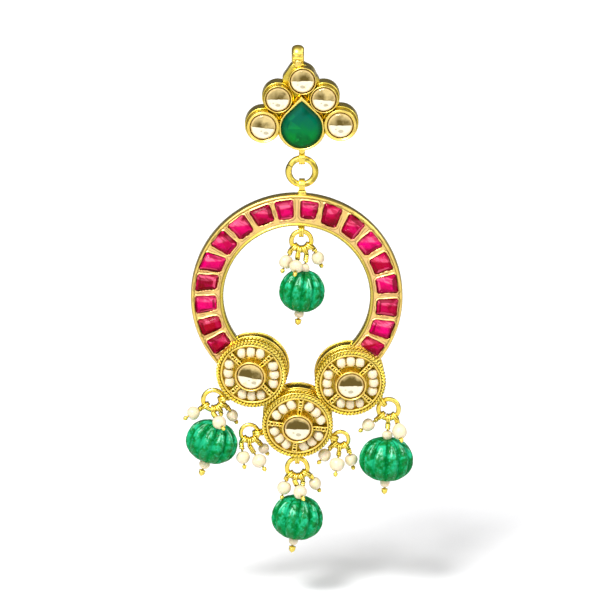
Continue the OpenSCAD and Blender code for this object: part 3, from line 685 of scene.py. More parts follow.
class EarringStones(bpy.types.PropertyGroup):
    """Colours of the cut stones."""
    ruby_dark: colour("Ruby dark", "Crimson stones", (0.31, 0.0, 0.010))
    ruby_bright: colour("Ruby bright", "Magenta stones", (0.74, 0.0, 0.15))
    # Painted highlights and painted shade of the rubies.
    ruby_painted_light: colour("Ruby light", "Pink light in the facets", (0.92, 0.13, 0.26))
    ruby_painted_shade: colour("Ruby deep", "Darkest facets", (0.14, 0.0, 0.004))
    # Painted reflection in the foil of a flat-cut stone: dark upper part, tan light in it, pale lower part.
    painted_reflection_dark: colour("Foil dark", "Dark upper part of a flat-cut stone", (0.10, 0.066, 0.008))
    painted_reflection_light: colour("Foil middle", "Tan light in the dark part", (0.60, 0.46, 0.19))
    painted_reflection_pale: colour("Foil light", "Pale lower part of a flat-cut stone", (0.86, 0.78, 0.57))
    foil_shade: colour("Foil shade", "Golden patches of a flat-cut stone", (0.66, 0.48, 0.18))
    stone_edge: colour("Stone edge", "Thin dark line round a flat-cut stone", (0.30, 0.18, 0.02))
    emerald_high: colour("Emerald tip", "Teal towards the tip", (0.0, 0.105, 0.062))
    emerald_low: colour("Emerald base", "Green at the round end", (0.0, 0.185, 0.018))
    emerald_deep: colour("Emerald deep", "Darker clouds", (0.0, 0.045, 0.016))
    # Painted light in the emerald.
    emerald_painted_light: colour("Emerald glow", "Lighter facets", (0.01, 0.33, 0.05))
    polish: number("Polish", "Least roughness of the stones", 0.08, 0.0, 0.5)


class EarringBeads(bpy.types.PropertyGroup):
    """Colours and carving of the beads."""
    pearl: colour("Pearl", "Main colour of the pearls", (0.78, 0.69, 0.45))
    pearl_blush: colour("Pearl blush", "Pink patches", (0.80, 0.66, 0.50))
    seed_pearl: colour("Seed pearl", "Colour of the pearls in the rosettes", (0.80, 0.69, 0.48))
    pearl_shade: colour("Pearl shade", "Golden shade at the drill holes", (0.40, 0.27, 0.05))
    melon: colour("Melon", "Main green of the carved beads", (0.0, 0.200, 0.036))
    melon_light: colour("Melon light", "Mint clouds", (0.02, 0.56, 0.28))
    melon_deep: colour("Melon deep", "Green in the cuts", (0.0, 0.07, 0.010))
    # Painted highlight strokes on the carved beads.
    melon_painted_glint: colour("Melon fleck", "Pale leaf strokes near the top", (0.36, 0.94, 0.62))
    flutes: whole_number("Flutes", "Lobes of a carved bead", 11, 9, 12)
    vein: distance("Vein", "Depth of the fine carving", 0.10, 0.0, 0.3)


class EarringStage(bpy.types.PropertyGroup):
    """Floor, light and camera."""
    floor: colour("Floor", "Colour of the floor", (0.93, 0.93, 0.94))
    floor_drop: distance("Floor drop", "Floor below the lowest ball", 7, 0, 100)
    sun: number("Key light", "Strength of the key light", 2.3, 0.0, 20.0)
    sky: number("Sky", "Strength of the light from above", 1.0, 0.0, 20.0)
    lens: number("Lens", "Focal length in millimetres", 1000.0, 20.0, 5000.0)
    elevation: number("Elevation", "Camera height above the horizon", math.radians(15), 0.0, math.pi / 2,
                      subtype="ANGLE")
    view_width: distance("View width", "Width of the picture at the earring", 88.8, 10, 1000)


# Stud

def barrel_shell():
    """The loop that takes a chain: a tube whose outside is domed, its wall times the root of one less the
    square of the place along it."""
    along = np.linspace(-0.97, 0.97, 15)
    dome = np.stack([LOOP_HOLE + LOOP_WALL * np.sqrt(1 - along ** 2), LOOP_HALF * along], -1)
    profile = np.concatenate([[[LOOP_HOLE, -LOOP_HALF]], dome, [[LOOP_HOLE, LOOP_HALF]]])
    return lathe(profile, spot_along([LOOP_X, LOOP_UP, MID_FRONT], [1, 0, 0]), 56, over=True, pale=0.15)


def strap_shell(up):
    """A broad strap round the wire of the link ring, flared inside so that the ring may swing."""
    half, hole, out = STRAP_HALF, STRAP_HOLE, STRAP_OUT
    profile = soften([[hole, -0.15], [hole + 0.06, -0.5 * half], [hole + 0.22, -half], [out - 0.03, -half],
                      [out, -0.8 * half], [out, 0.8 * half], [out - 0.03, half], [hole + 0.22, half],
                      [hole + 0.06, 0.5 * half], [hole, 0.15]], loop=True)
    return lathe(profile, spot_along([0, up, MID_FRONT], [1, 0, 0]), 56, over=True)


def bezel_profile(r, stone, box):
    """Section of a round bezel from its foot over the thin bright rim to the stone's seat; its box stands
    out by a width that is 0 where the bezel goes straight down."""
    return soften([
        [0, 0], [r + box - 0.08, 0], [r + box, 0.1], [r + box, 2.25], [r + 0.86 * box, 2.5],
        [r + 0.5 * box, BEZEL_FOOT], [r + 0.07 * box, BEZEL_FOOT - 0.06], [r, BEZEL_FOOT + 0.1], [r, 3.4],
        [r - 0.02, 3.62], [r - 0.1, 3.73], [r - 0.19, 3.70], [stone + 0.02, 3.52], [stone, 3.3],
        [stone - 0.02, 2.72], [0, 2.7]])


def stud_shells():
    """Back box, bezels, shoulders, loop and eye of the stud."""
    # The shoulders and the filler between the bezels carry painted shade.
    shells = [plate(SHOULDERS, 0.16, 2.3, groove=0.35), plate(FILLER, 0.2, 2.1, groove=0.55)]
    for k, (x, up, stone, wall) in enumerate(STUD_STONES):
        r = stone + wall
        profile = bezel_profile(r, stone, STUD_MARGIN if k else 0.0)
        reach, height = profile[:, :1], profile[:, 1:]
        pale = 0.2 * ease(height, 3.3, 3.6) * (reach > stone)
        # Painted shade in the gap at the foot of each bezel's box.
        painted_foot_shade = 0.75 * hill(reach, r + 0.03, 0.08) * (np.abs(height - BEZEL_FOOT) < 0.2)
        shells.append(lathe(profile, spot(x, up, BACK_STEP * (k + 1)), 72, pale=pale, groove=painted_foot_shade))
        if wall > 0.3:
            shells.append(wire_ring([x, up, 3.62], [0, 0, 1], stone + 0.14, 0.13, 72, 8, pale=0.25))
    shells += [tear_shell(), barrel_shell()]
    tongue = [[LOOP_X - 0.5, 8.75], [LOOP_X + 0.55, 8.75], [LOOP_X + 0.62, 7.45], [LOOP_X - 0.48, 7.45]]
    shells.append(plate(tongue, 2.2, 3.3, 0.2, pale=0.3))
    for height, front, half in ((8.0, 2.95, 0.8), (8.98, 3.14, 0.7), (9.68, 3.02, 0.7)):
        shells.append(rod([LOOP_X - half, height, front], [LOOP_X + half, height, front], 0.15))
    shells.append(strap_shell(STUD_EYE_UP))
    top, foot = STUD_EYE_UP + 0.75, TEAR_CENTRE[1] - TEAR_R + 0.6
    shells.append(plate([[-0.42, top], [0.42, top], [0.62, foot], [-0.62, foot]], 1.0, 2.5, 0.2))
    return shells


def tear_radius(turn, r, tip):
    """Distance of a teardrop's outline from its round centre: r round the back, and the tangent line
    r / cos(tangent angle - turn) towards the tip."""
    tangent = np.arccos(np.clip(r / tip, -1, 1))
    away = np.abs((turn + math.pi) % FULL_TURN - math.pi)
    return np.where(away < tangent, r / np.cos(tangent - away), r)


def tear_rows(rows, turn):
    """Teardrop outlines with radius, tip distance and height for each row."""
    rows = np.asarray(rows, float)
    reach = tear_radius(turn[None], rows[:, :1], np.maximum(rows[:, 1:2], rows[:, :1] + 1e-6))
    return np.stack([reach * np.sin(turn), reach * np.cos(turn),
                     np.broadcast_to(rows[:, 2:3], reach.shape)], -1)


def tear_shell():
    """The teardrop bezel: its wall, its turned-over lip and the box under it."""
    rows = soften([
        [0.0, 0.0, 0.0], [3.57, 5.30, 0.0], [3.65, 5.40, 0.1], [3.65, 5.40, 2.2], [3.62, 5.34, 2.45],
        [3.47, 5.08, 2.56], [3.37, 4.93, 2.66], [3.37, 4.91, 3.4], [3.34, 4.86, 3.64], [3.22, 4.66, 3.75],
        [3.08, 4.36, 3.68], [2.98, 4.08, 3.5], [2.93, 3.98, 3.2], [2.9, 3.9, 2.8], [0.0, 0.0, 2.7]])
    turn = np.linspace(0, FULL_TURN, 144, endpoint=False)
    return Shell(put(tear_rows(rows, turn), spot(*TEAR_CENTRE)), pale=0.2 * ease(rows[:, 2:3], 3.2, 3.6))


class EARRING_OT_stud(bpy.types.Operator):
    """Make the stud's gold work"""
    bl_idname = "earring.stud"
    bl_label = "Stud gold work"

    def execute(self, context):
        finish = gold_finish(context.scene.earring_gold, "stud_gold")
        make_gold("stud_goldwork", stud_shells(), finish, "stud", ["stud_frame"])
        return {"FINISHED"}


class EARRING_OT_post(bpy.types.Operator):
    """Make the hidden ear post"""
    bl_idname = "earring.post"
    bl_label = "Ear post"

    def execute(self, context):
        profile = soften([
            [0, 0.45], [0.24, 0.45], [0.25, -0.03], [0.42, -0.05], [0.45, -0.12], [0.45, -8.7], [0.37, -8.85],
            [0.37, -9.15], [0.45, -9.3], [0.45, -10.1], [0.3, -10.42], [0, -10.5]])
        finish = gold_finish(context.scene.earring_gold, "post_gold")
        make_gold("post_wire", [lathe(profile, spot(0, 0), 32)], finish, "stud", ["ear_post"])
        return {"FINISHED"}


def polki_shell(place, radius, seed, deep=0.0):
    """A flat-cut stone: an uneven outline of sixteen sides, girdle, low crown and a broad table, with
    values per point for the painted reflection in its foil. The last argument is 1 for a stone whose painted
    reflection looks darker."""
    rng = np.random.default_rng(seed)
    turn = np.radians(np.arange(16) * 22.5 + rng.uniform(-3, 3, 16))
    outline = np.stack([np.cos(turn), np.sin(turn)], -1)
    rows = np.array([[0, 0], [0.88, 0], [1, 0.35], [1, 0.78], [0.94, 0.98], [0.84, 1.08], [0, 1.10]])
    flat, height = rows[:, None, :1] * outline * radius, rows[:, None, 1:]
    lift = height + 0.02 * rng.standard_normal((7, 16, 1)) * (height > 0.8)
    lift[[0, -1]] = height[[0, -1]]
    grid = np.concatenate([flat, lift], -1)
    return Shell(put(grid, place), aside=flat[..., 0] / radius, along=flat[..., 1] / radius,
                 pick=rng.random(), deep=deep)


class EARRING_OT_stud_stones(bpy.types.Operator):
    """Make the stud's five round stones and its emerald"""
    bl_idname = "earring.stud_stones"
    bl_label = "Stud stones"

    def execute(self, context):
        look = context.scene.earring_stones
        seat = STONE_SEAT + STONE_GAP
        stones = [polki_shell(spot(x, up, seat), stone - STONE_GAP, 11 + k)
                  for k, (x, up, stone, _) in enumerate(STUD_STONES)]
        make_piece("stud_polki", stones, polki_finish(look), "stud", STUD_NAMES, sharp=12)
        turn = np.linspace(0, FULL_TURN, 16, endpoint=False)
        turn = turn + 0.12 * np.sin(2 * turn)
        rows = np.array([[0.0, 0.0, 0.0], [2.7, 3.7, 0.0], [3.0, 4.08, 0.3], [3.0, 4.08, 0.75],
                         [2.55, 3.46, 1.05], [2.02, 2.75, 1.25], [0.0, 0.0, 1.27]])
        grid = tear_rows(rows, turn)
        stone = Shell(put(grid, spot(*TEAR_CENTRE, seat)), along=grid[..., 1] / 3.5,
                      edge=rows[:, :1] / rows[:, 0].max())
        make_piece("stud_emerald", [stone], emerald_finish(look), "stud", ["teardrop_emerald"],
                   sharp=8, facets=True)
        return {"FINISHED"}


class EARRING_OT_link(bpy.types.Operator):
    """Make the link ring between stud and hoop"""
    bl_idname = "earring.link"
    bl_label = "Link ring"

    def execute(self, context):
        points, sides = 96, 20
        path = hoop_path([0, LINK_UP, MID_FRONT], [0, 0, 1], LINK_R, points, gap=0.05, start=152)
        swell = LINK_WIRE - 0.02 + 0.02 * np.sin(np.linspace(0, 5 * math.pi, points))
        # Random patches of painted shade along the wire.
        painted_shade_patches = 0.65 * ease(ripple(path[:, :1] * 7, np.arange(sides)[None] * 0.9, 5), 0.0, 1.0)
        finish = gold_finish(context.scene.earring_gold, "link_gold")
        make_gold("link_wire", [tube(path, swell, sides, groove=capped(painted_shade_patches))], finish, "link", ["link_ring"])
        return {"FINISHED"}


# Hoop

def ruby_outline(ruby, grow, cut=0.22):
    """Keystone with cut corners: half widths grow with the distance from the hoop's centre."""
    half, lean = ruby.length / 2, ruby.lean
    top = half + grow
    wide, narrow = (ruby.width / 2 * (1 + sign * half / HOOP_MID) + grow for sign in (1, -1))
    return np.array([
        [lean + narrow - cut, -top], [lean + narrow, cut - top], [wide - lean, top - cut],
        [wide - lean - cut, top], [cut - wide - lean, top], [-wide - lean, top - cut],
        [lean - narrow, cut - top], [lean + cut - narrow, -top]])


def outside(outline, aside, along):
    """How far points lie outside a convex outline: the largest distance past any of its sides."""
    runs = unit(np.roll(outline, -1, 0) - outline)
    past = [run[1] * (aside - x) - run[0] * (along - y) for run, (x, y) in zip(runs, outline)]
    return np.max(past, axis=0)


def band_front(reach, angle):
    """Height of the band's front by distance and angle from the hoop's centre, and its values for the
    material: painted shade, paleness of the foil and a painted reflection of red beside each ruby. Hills
    raise a soft lip round every stone and a bead along both rims, with a furrow inside it. Smooth steps sink
    the pockets, and the edges are rounded as a quarter circle."""
    away = np.full((len(reach), len(angle)), 9.0)       # more than any distance from a ruby
    for ruby in RUBIES:
        bend = angle - math.radians(ruby.angle)
        aside, along = reach * np.sin(bend), reach * np.cos(bend) - HOOP_MID
        away = np.minimum(away, outside(ruby_outline(ruby, 0.05), aside, along) + 50 * (np.cos(bend) < 0.9))
    wave, dents = ripple(angle * 60, reach * 4, 3), ripple(angle * 25, reach * 2.5, 8)
    away = away + 0.045 * wave
    edge = np.minimum(reach - HOOP_IN, HOOP_OUT - reach)
    lip, bead, furrow = hill(away, 0.15, 0.10), hill(edge, 0.26, 0.16), hill(edge, 0.56, 0.1)
    pocket = ease(-away, -0.06, 0.10)
    rounding = 1 - np.sqrt(1 - np.clip(1 - edge / HOOP_EDGE, 0, 1) ** 2)
    front = HOOP_FRONT - 0.03 + 0.10 * lip + 0.12 * bead - 0.06 * furrow + 0.02 * dents - 0.9 * pocket
    front = front - HOOP_EDGE * rounding
    # Painted shade: a dark line in the pocket round every stone, another in the furrow inside each rim, and
    # darker towards the inner rim. A broken second dark line also runs round each stone.
    dark = 0.9 * hill(away, -0.02, 0.10) + 0.8 * hill(edge, 0.50, 0.08)
    dark = dark + 0.85 * hill(away, 0.37, 0.055) * ease(wave, -0.7, 0.2)
    dark = dark + 0.3 * ease(HOOP_IN + 0.6 - reach, 0.0, 0.3)
    rim = np.where(reach > HOOP_MID, 0.5, 0.0)
    pale = (rim + (1 - rim) * ease(edge, 0.42, 0.55)) * (0.80 + 0.20 * np.clip(wave, -1, 1))
    # Painted reflection of the ruby's red on the foil beside each stone.
    blush = hill(away, 0.10, 0.08) * ease(wave, -0.9, 0.5)
    return front, {"groove": np.clip(dark, 0, 1), "pale": pale, "blush": blush}


def band_shell():
    """The hoop's band in polar form: rows go across its worked front and round its plain back, and columns
    along the angle."""
    angle = np.radians(np.linspace(-BAND_SWEEP, BAND_SWEEP, BAND_COLUMNS))
    reach = np.linspace(HOOP_IN, HOOP_OUT, BAND_ROWS)[:, None]
    front, marks = band_front(reach, angle)
    half = HOOP_DEPTH / 2
    wall = np.array([
        [HOOP_OUT, 0.55], [HOOP_OUT, 0.1], [HOOP_OUT, -0.6], [HOOP_OUT - 0.08, -0.9],
        [HOOP_OUT - HOOP_EDGE, -half], [HOOP_MID, -half], [HOOP_IN + HOOP_EDGE, -half],
        [HOOP_IN + 0.08, -0.9], [HOOP_IN, -0.6], [HOOP_IN, 0.1], [HOOP_IN, 0.55]])
    plain = np.zeros((len(wall), BAND_COLUMNS))
    radius = np.concatenate([reach + 0 * front, wall[:, :1] + plain])
    height = np.concatenate([front, MID_FRONT + wall[:, 1:] + plain])
    grid = np.stack([HOOP_X + radius * np.sin(angle), HOOP_UP + radius * np.cos(angle), height], -1)
    marks = {key: capped(np.concatenate([mark, plain]).T) for key, mark in marks.items()}
    return Shell(poles(np.swapaxes(grid, 0, 1)), **marks)


def rope_shells(place, radius, height, offset, strand, turns):
    """Two strands twisted round the rope's centre line: strand centres swing by an offset times the cosine
    and sine of the twist, half a turn apart, and carry painted shade where they dive under the other strand."""
    turn = np.linspace(0, FULL_TURN, turns * 10, endpoint=False)
    third = place[0][:, 2]
    shells = []
    for phase in (0, math.pi):
        twist = turns * turn + phase
        swing = radius + offset * np.cos(twist)
        path = np.stack([swing * np.cos(turn), swing * np.sin(turn), height + offset * np.sin(twist)], -1)
        # Painted shade where a strand dives under the other one.
        low = 0.75 * ease(-np.sin(twist[:, None]), -0.6, 0.2)
        shells.append(tube(put(path, place), strand, 6, loop=True, across=third, groove=low))
    return shells


def rosette_box(place):
    """Back, sides with painted shade on the recessed band between two beads, rim, trough for the seed pearls,
    and bezel.
    """
    bezel, stone = ROSETTE_BEZEL_R, ROSETTE_STONE_R
    profile = soften([
        [0, -4.4], [4.82, -4.4], [4.98, -4.28], [5.0, -4.0], [5.0, -3.85], [4.9, -3.7], [4.9, -2.5],
        [5.0, -2.35], [5.0, -0.3], [4.95, -0.08], [4.75, 0.0], [RIM_R, 0.0], [4.43, -0.1], [4.42, -0.68],
        [4.3, TROUGH_FLOOR], [2.55, TROUGH_FLOOR], [bezel + 0.06, -0.68], [bezel, -0.4], [bezel, 1.1],
        [bezel - 0.02, 1.3], [bezel - 0.09, 1.4], [bezel - 0.18, 1.4], [stone + 0.04, 1.26],
        [stone + 0.02, 1.0], [stone, 0.3], [0, 0.25]])
    reach, height = profile[:, :1], profile[:, 1:]
    # Painted shade on the recessed band of the side wall.
    painted_wall_shade = (reach > 4.8) * ease(-height, 2.35, 2.6) * ease(height, -3.85, -3.6)
    trough = 1.0 * (np.abs(height - TROUGH_FLOOR) < 0.25) * (reach < 4.45) * (reach > bezel + 0.05)
    return lathe(profile, place, 96, groove=painted_wall_shade, pale=0.35 * ease(height, 1.1, 1.35), bed=trough)


def rosette_shells(rosette, gold):
    """Box, ropes, rims, and four bars of side wires and hollow collets of one rosette."""
    place = rosette_spot(rosette)
    third = place[0][:, 2]
    shells = [rosette_box(place)]
    shells += rope_shells(place, ROPE_R, 0.1, 0.15, gold.rope_strand / MM, gold.rope_turns)
    shells += rope_shells(place, 5.05, -1.15, 0.1, 0.12, gold.rope_turns)
    for radius, wire, height in ((RIM_R, 0.19, 0.08), (5.0, 0.13, -0.55), (5.0, 0.13, -1.7),
                                 (5.0, 0.14, -2.35), (5.0, 0.16, -4.0), (ROSETTE_BEZEL_R + 0.1, 0.13, -0.55)):
        shells.append(wire_ring(put([0, 0, height], place), third, radius, wire, 80, 8, pale=0.2))
    first, last = ROSETTE_BEZEL_R - 0.05, 4.45
    block = np.array([[first, -0.2], [last, -0.24], [last, 0.24], [first, 0.2]])
    middle = block.mean(0)
    for side in range(4):
        out, over = spoke(rosette.bars + 90 * side)
        for sign in (-1, 1):
            start = put(out * first + sign * 0.22 * over + [0, 0, 0.4], place)
            end = put(out * last + sign * 0.3 * over + [0, 0, 0.3], place)
            shells.append(rod(start, end, 0.12, 8, pale=0.2))
        for reach, collet in ((3.0, 0.22), (3.82, 0.3)):
            centre = put(out * reach + [0, 0, 0.44], place)
            shells.append(wire_ring(centre, third, collet, 0.11, 20, 8, pale=0.3))
        # A dark block under the two wires of each bar, as painted shade in the gap between them.
        axes = np.stack([place[0] @ out, place[0] @ over, third], -1)
        shells.append(stack(block - middle, [[0, -0.8], [1, -0.8], [1, 0.2], [0, 0.2]],
                            (axes, put(out * middle[0], place)), groove=0.85))
    return shells


def small_eye_shells(ring):
    """The doubled eye that carries a jump ring, with its stem and a wire wound round it."""
    out, over = spoke(ring.angle)
    middle = np.array([ring.x, ring.up, ring.front])
    start = middle + out * (ring.radius + EYE_R)
    holder = np.array([ring.hold_x, ring.hold_up, ring.front])
    stem = holder + 4.0 * unit(start - holder)
    run = unit(stem - start)
    wound = min(1.1, np.linalg.norm(stem - start) + 0.3)
    shells = [wire_ring(middle + out * ring.radius + shift * over, over, EYE_R, 0.2, 32, 10)
              for shift in (-0.17, 0.17)]
    shells.append(rod(start, stem, 0.32))
    shells.append(coil(start - 0.3 * run, run, wound, 0.40, 0.14, round(wound / 0.3)))
    return shells


def hoop_shells():
    """The hoop's band, web and eyes."""
    # The web carries a little painted shade.
    shells = [band_shell(), plate(WEB, 0.8, 1.7, 0.15, groove=0.1), strap_shell(HOOP_EYE_UP)]
    top, foot = HOOP_EYE_UP - 0.75, HOOP_UP + HOOP_OUT - 0.35
    shells.append(plate([[-0.4, top], [0.4, top], [0.85, foot], [-0.85, foot]], 0.9, 2.45, 0.2))
    shells.append(rod([-0.62, top - 0.1, 2.35], [0.62, top - 0.1, 2.35], 0.14))
    return shells + [shell for ring in RINGS.values() for shell in small_eye_shells(ring)]


class EARRING_OT_hoop(bpy.types.Operator):
    """Make the hoop with its web and eyes, and the three rosettes"""
    bl_idname = "earring.hoop"
    bl_label = "Hoop gold work"

    def execute(self, context):
        gold = context.scene.earring_gold
        finish = gold_finish(gold, "hoop_gold")
        make_gold("hoop_goldwork", hoop_shells(), finish, "drop", ["hoop_frame"])
        rosettes = [shell for rosette in ROSETTES.values() for shell in rosette_shells(rosette, gold)]
        make_gold("rosette_goldwork", rosettes, finish, "drop", ["hoop_frame"])
        return {"FINISHED"}


def ruby_shell(ruby, seed):
    """One hand-cut ruby: a slightly uneven keystone, two rows of crown facets and a sloping table."""
    rng = np.random.default_rng(seed)
    outline = ruby_outline(ruby, 0.05, 0.16) + rng.uniform(-0.04, 0.04, (8, 2))
    rows = np.array([[0, 0], [0.9, 0], [1, 0.3], [1, 0.83], [0.82, 1.08], [0.58, 1.27], [0, 1.30]])
    scale, height = rows[:, None, :1], rows[:, None, 1:]
    loose = (height > 1.0) & (scale > 0)
    flat = scale * outline[None]
    flat = flat + loose * rng.uniform(-0.09, 0.09, flat.shape)
    tilt = rng.uniform(-0.05, 0.05, 2)
    slope = (flat * tilt).sum(-1, keepdims=True)
    lift = height + loose * (slope + rng.uniform(-0.03, 0.03, slope.shape))
    grid = np.concatenate([flat, lift], -1)
    spin = math.radians(ruby.angle)
    place = spot(HOOP_X + HOOP_MID * math.sin(spin), HOOP_UP + HOOP_MID * math.cos(spin), HOOP_FRONT - 0.95,
                 turn_about(2, -ruby.angle))
    faced = grid @ place[0].T
    return Shell(put(grid, place), tone=ruby.tone, pick=rng.random(), aside=faced[..., 0],
                 along=faced[..., 1], crown=rows[:, :1])


class EARRING_OT_rubies(bpy.types.Operator):
    """Make the eighteen rubies"""
    bl_idname = "earring.rubies"
    bl_label = "Rubies"

    def execute(self, context):
        names = [f"ruby_{side}_{k}" for side in ("left", "right") for k in range(1, 10)]
        make_piece("hoop_rubies", [ruby_shell(ruby, 40 + k) for k, ruby in enumerate(RUBIES)],
                   ruby_finish(context.scene.earring_stones), "drop", names, sharp=0, facets=True)
        return {"FINISHED"}


class EARRING_OT_rosette_stones(bpy.types.Operator):
    """Make the three stones in the rosettes"""
    bl_idname = "earring.rosette_stones"
    bl_label = "Rosette stones"

    def execute(self, context):
        stones = []
        for k, rosette in enumerate(ROSETTES.values()):
            axes, origin = rosette_spot(rosette)
            seat = origin + axes[:, 2] * (ROSETTE_SEAT + STONE_GAP)
            # The rosette stones get a darker painted reflection.
            stones.append(polki_shell((axes, seat), ROSETTE_STONE_R, 31 + k, deep=1.0))
        finish = polki_finish(context.scene.earring_stones)
        make_piece("rosette_polki", stones, finish, "drop",
                   [f"rosette_{name}_stone" for name in ROSETTES], sharp=12)
        return {"FINISHED"}


# Beads and drops

def pearl_shell(centre, direction, radius, seed, stretch=1.0, sides=22, rows=15, hole=0.14, kind=0.0):
    """An uneven pearl: the radius swells by a few per cent in slow waves over both angles, and dips to the
    drill hole at both ends. Kind is 1 for a seed pearl, whose sides are flatter, by the sine to the 0.7."""
    rng = np.random.default_rng(seed)
    t = np.linspace(0.0, math.pi, rows)[:, None]
    a = np.linspace(0, FULL_TURN, sides, endpoint=False)[None]
    p = rng.uniform(0, FULL_TURN, 4)
    swell = 0.035 * np.sin(2 * a + p[0]) * np.sin(t) ** 2 + 0.03 * np.cos(3 * t + p[1])
    swell = swell + 0.02 * np.sin(3 * a + 2 * t + p[2]) * np.sin(t)
    swell = swell + 0.015 * np.cos(5 * a - 3 * t + p[3]) * np.sin(t)
    reach = radius * (0.985 + swell - hole * hill(np.sin(t), 0, 0.2))
    out = reach * np.sin(t) ** (1 - 0.3 * kind)
    grid = np.stack([out * np.cos(a), out * np.sin(a), reach * np.cos(t) * stretch], -1)
    return Shell(put(grid, spot_along(centre, direction)), groove=0.7 * hill(np.sin(t), 0, 0.16), seed=kind)


def pins_of(name, pins):
    """The pins of a table that hang on one ring."""
    return [pin for pin in pins if pin.ring == name]


def ring_point(ring, angle):
    """A point on a jump ring's centre line."""
    return np.array(ring[:3]) + ring.radius * spoke(angle)[0]


def bead_centre(pin):
    """Centre of the pearl or melon bead on a pin."""
    return np.array(RINGS[pin.ring][:3]) + [pin.x, pin.up, pin.front]


def pin_line(pin):
    """Where a pin's loop sits and reaches, where its stem leaves the loop, and the stem's direction: the
    loop lies in the plane of the radius and the front, and the stem leaves it towards the bead."""
    ring, bead = RINGS[pin.ring], bead_centre(pin)
    point = ring_point(ring, pin.angle)
    out, front = spoke(pin.angle)[0], np.array([0.0, 0.0, 1.0])
    aim = bead - point
    reach = ring.wire + 0.12 + PIN_LOOP_WIRE
    start = point + reach * unit(out * (aim @ out) + front * (aim @ front))
    return point, reach, start, unit(bead - start)


def pin_shells(pin, clear, low, tip, gold):
    """A head pin: doubled loop, wound collar, stem and a ball with a ring of grains. The collar is wound
    along most of the stem down to the first pearl, which starts clear millimetres above the bead's middle,
    and the ball of radius tip hangs below the last one, which ends low millimetres below it."""
    point, reach, start, direction = pin_line(pin)
    bead, aside = bead_centre(pin), spoke(pin.angle)[1]
    wire = gold.wrap_wire / MM
    collar = max(COLLAR_LEN, 0.8 * (np.linalg.norm(bead - start) - clear))
    end = bead + (low + PIN_GAP + tip) * direction
    shells = [wire_ring(point + shift * aside, aside, reach, 0.9 * PIN_LOOP_WIRE, 28, 8)
              for shift in (-0.15, 0.15)]
    shells.append(coil(start + 0.02 * direction, direction, collar, 0.29, wire, round(collar / (2.1 * wire))))
    # The stem carries painted shade.
    shells.append(rod(start, end, STEM_R, 8, groove=0.8))
    shells.append(ball(end, tip * 0.94))
    axes, _ = spot_along(end, direction)
    for k in range(GRAINS):
        turn = FULL_TURN * k / GRAINS
        side = axes[:, 0] * math.cos(turn) + axes[:, 1] * math.sin(turn)
        shells.append(ball(end + tip * (0.72 * side - 0.5 * direction), tip * 0.32, 8, 6))
    return shells + [ball(end + tip * 0.9 * direction, tip * 0.26, 8, 6)]


class EARRING_OT_rings(bpy.types.Operator):
    """Make the six jump rings"""
    bl_idname = "earring.rings"
    bl_label = "Jump rings"

    def execute(self, context):
        gold = gold_finish(context.scene.earring_gold, "ring_gold")
        for k, (name, ring) in enumerate(RINGS.items()):
            path = hoop_path(ring[:3], [0, 0, 1], ring.radius, 120, gap=0.04, start=ring.angle + 60 + 25 * k)
            held = [ring_point(ring, pin.angle) for pin in pins_of(name, PEARL_PINS + MELON_PINS)]
            near = np.min([np.linalg.norm(path - point, axis=1, keepdims=True) for point in held], axis=0)
            under = 0.85 * np.exp(-(near / 0.42) ** 4)      # shade under the pins' loops
            make_gold(f"wire_{name}", [tube(path, ring.wire, 16, groove=capped(under))], gold, "drop",
                      [f"ring_{name}"])
        return {"FINISHED"}


class EARRING_OT_pins(bpy.types.Operator):
    """Make the head pins of the pearls and melon beads"""
    bl_idname = "earring.pins"
    bl_label = "Head pins"

    def execute(self, context):
        gold = context.scene.earring_gold
        finish = gold_finish(gold, "pin_gold")
        for name in RINGS:
            shells = []
            for pin in pins_of(name, PEARL_PINS):
                shells += pin_shells(pin, pin.radius, pin.radius, BALL_R, gold)
            for pin in pins_of(name, MELON_PINS):
                nest = pin.half - MELON_NEST
                shells += pin_shells(pin, nest + 2 * pin.top_pearl, nest + 2 * pin.low_pearl, pin.ball, gold)
            make_gold(f"headpins_{name}", shells, finish, "drop", [f"pins_{name}"])
        return {"FINISHED"}


class EARRING_OT_pearls(bpy.types.Operator):
    """Make the pearls of the drops and the seed pearls of the rosettes"""
    bl_idname = "earring.pearls"
    bl_label = "Pearls"

    def execute(self, context):
        finish = pearl_finish(context.scene.earring_beads)
        for k, name in enumerate(RINGS):
            shells = []
            for n, pin in enumerate(pins_of(name, PEARL_PINS)):
                shells.append(pearl_shell(bead_centre(pin), pin_line(pin)[3], pin.radius, 100 + 10 * k + n,
                                          pin.stretch))
            for pin in pins_of(name, MELON_PINS):
                direction = pin_line(pin)[3]
                for sign, size in ((-1, pin.top_pearl), (1, pin.low_pearl)):
                    centre = bead_centre(pin) + sign * (pin.half - MELON_NEST + size) * direction
                    shells.append(pearl_shell(centre, direction, size, 200 + 10 * k + sign))
            make_piece(f"dangle_pearls_{name}", shells, finish, "drop", [f"pearls_{name}"])
        for k, (name, rosette) in enumerate(ROSETTES.items()):
            place = rosette_spot(rosette)
            shells = []
            for side in range(4):
                turned = turn_about(2, rosette.bars + 45 + 90 * side)
                run = place[0] @ turned @ [0.0, 1.0, 0.0]
                for step in (-1, 0, 1):
                    out = math.sqrt(SEED_SIDE ** 2 - SEED_PITCH ** 2) if step else SEED_MIDDLE
                    centre = put(turned @ [out, step * SEED_PITCH, SEED_R - 0.65], place)
                    shells.append(pearl_shell(centre, run, 1.19 * SEED_R, 300 + 20 * k + 4 * side + step,
                                              0.90, 18, 12, hole=0.08, kind=1.0))
            make_piece(f"seed_pearls_{name}", shells, finish, "drop", [f"rosette_{name}_pearls"])
        return {"FINISHED"}


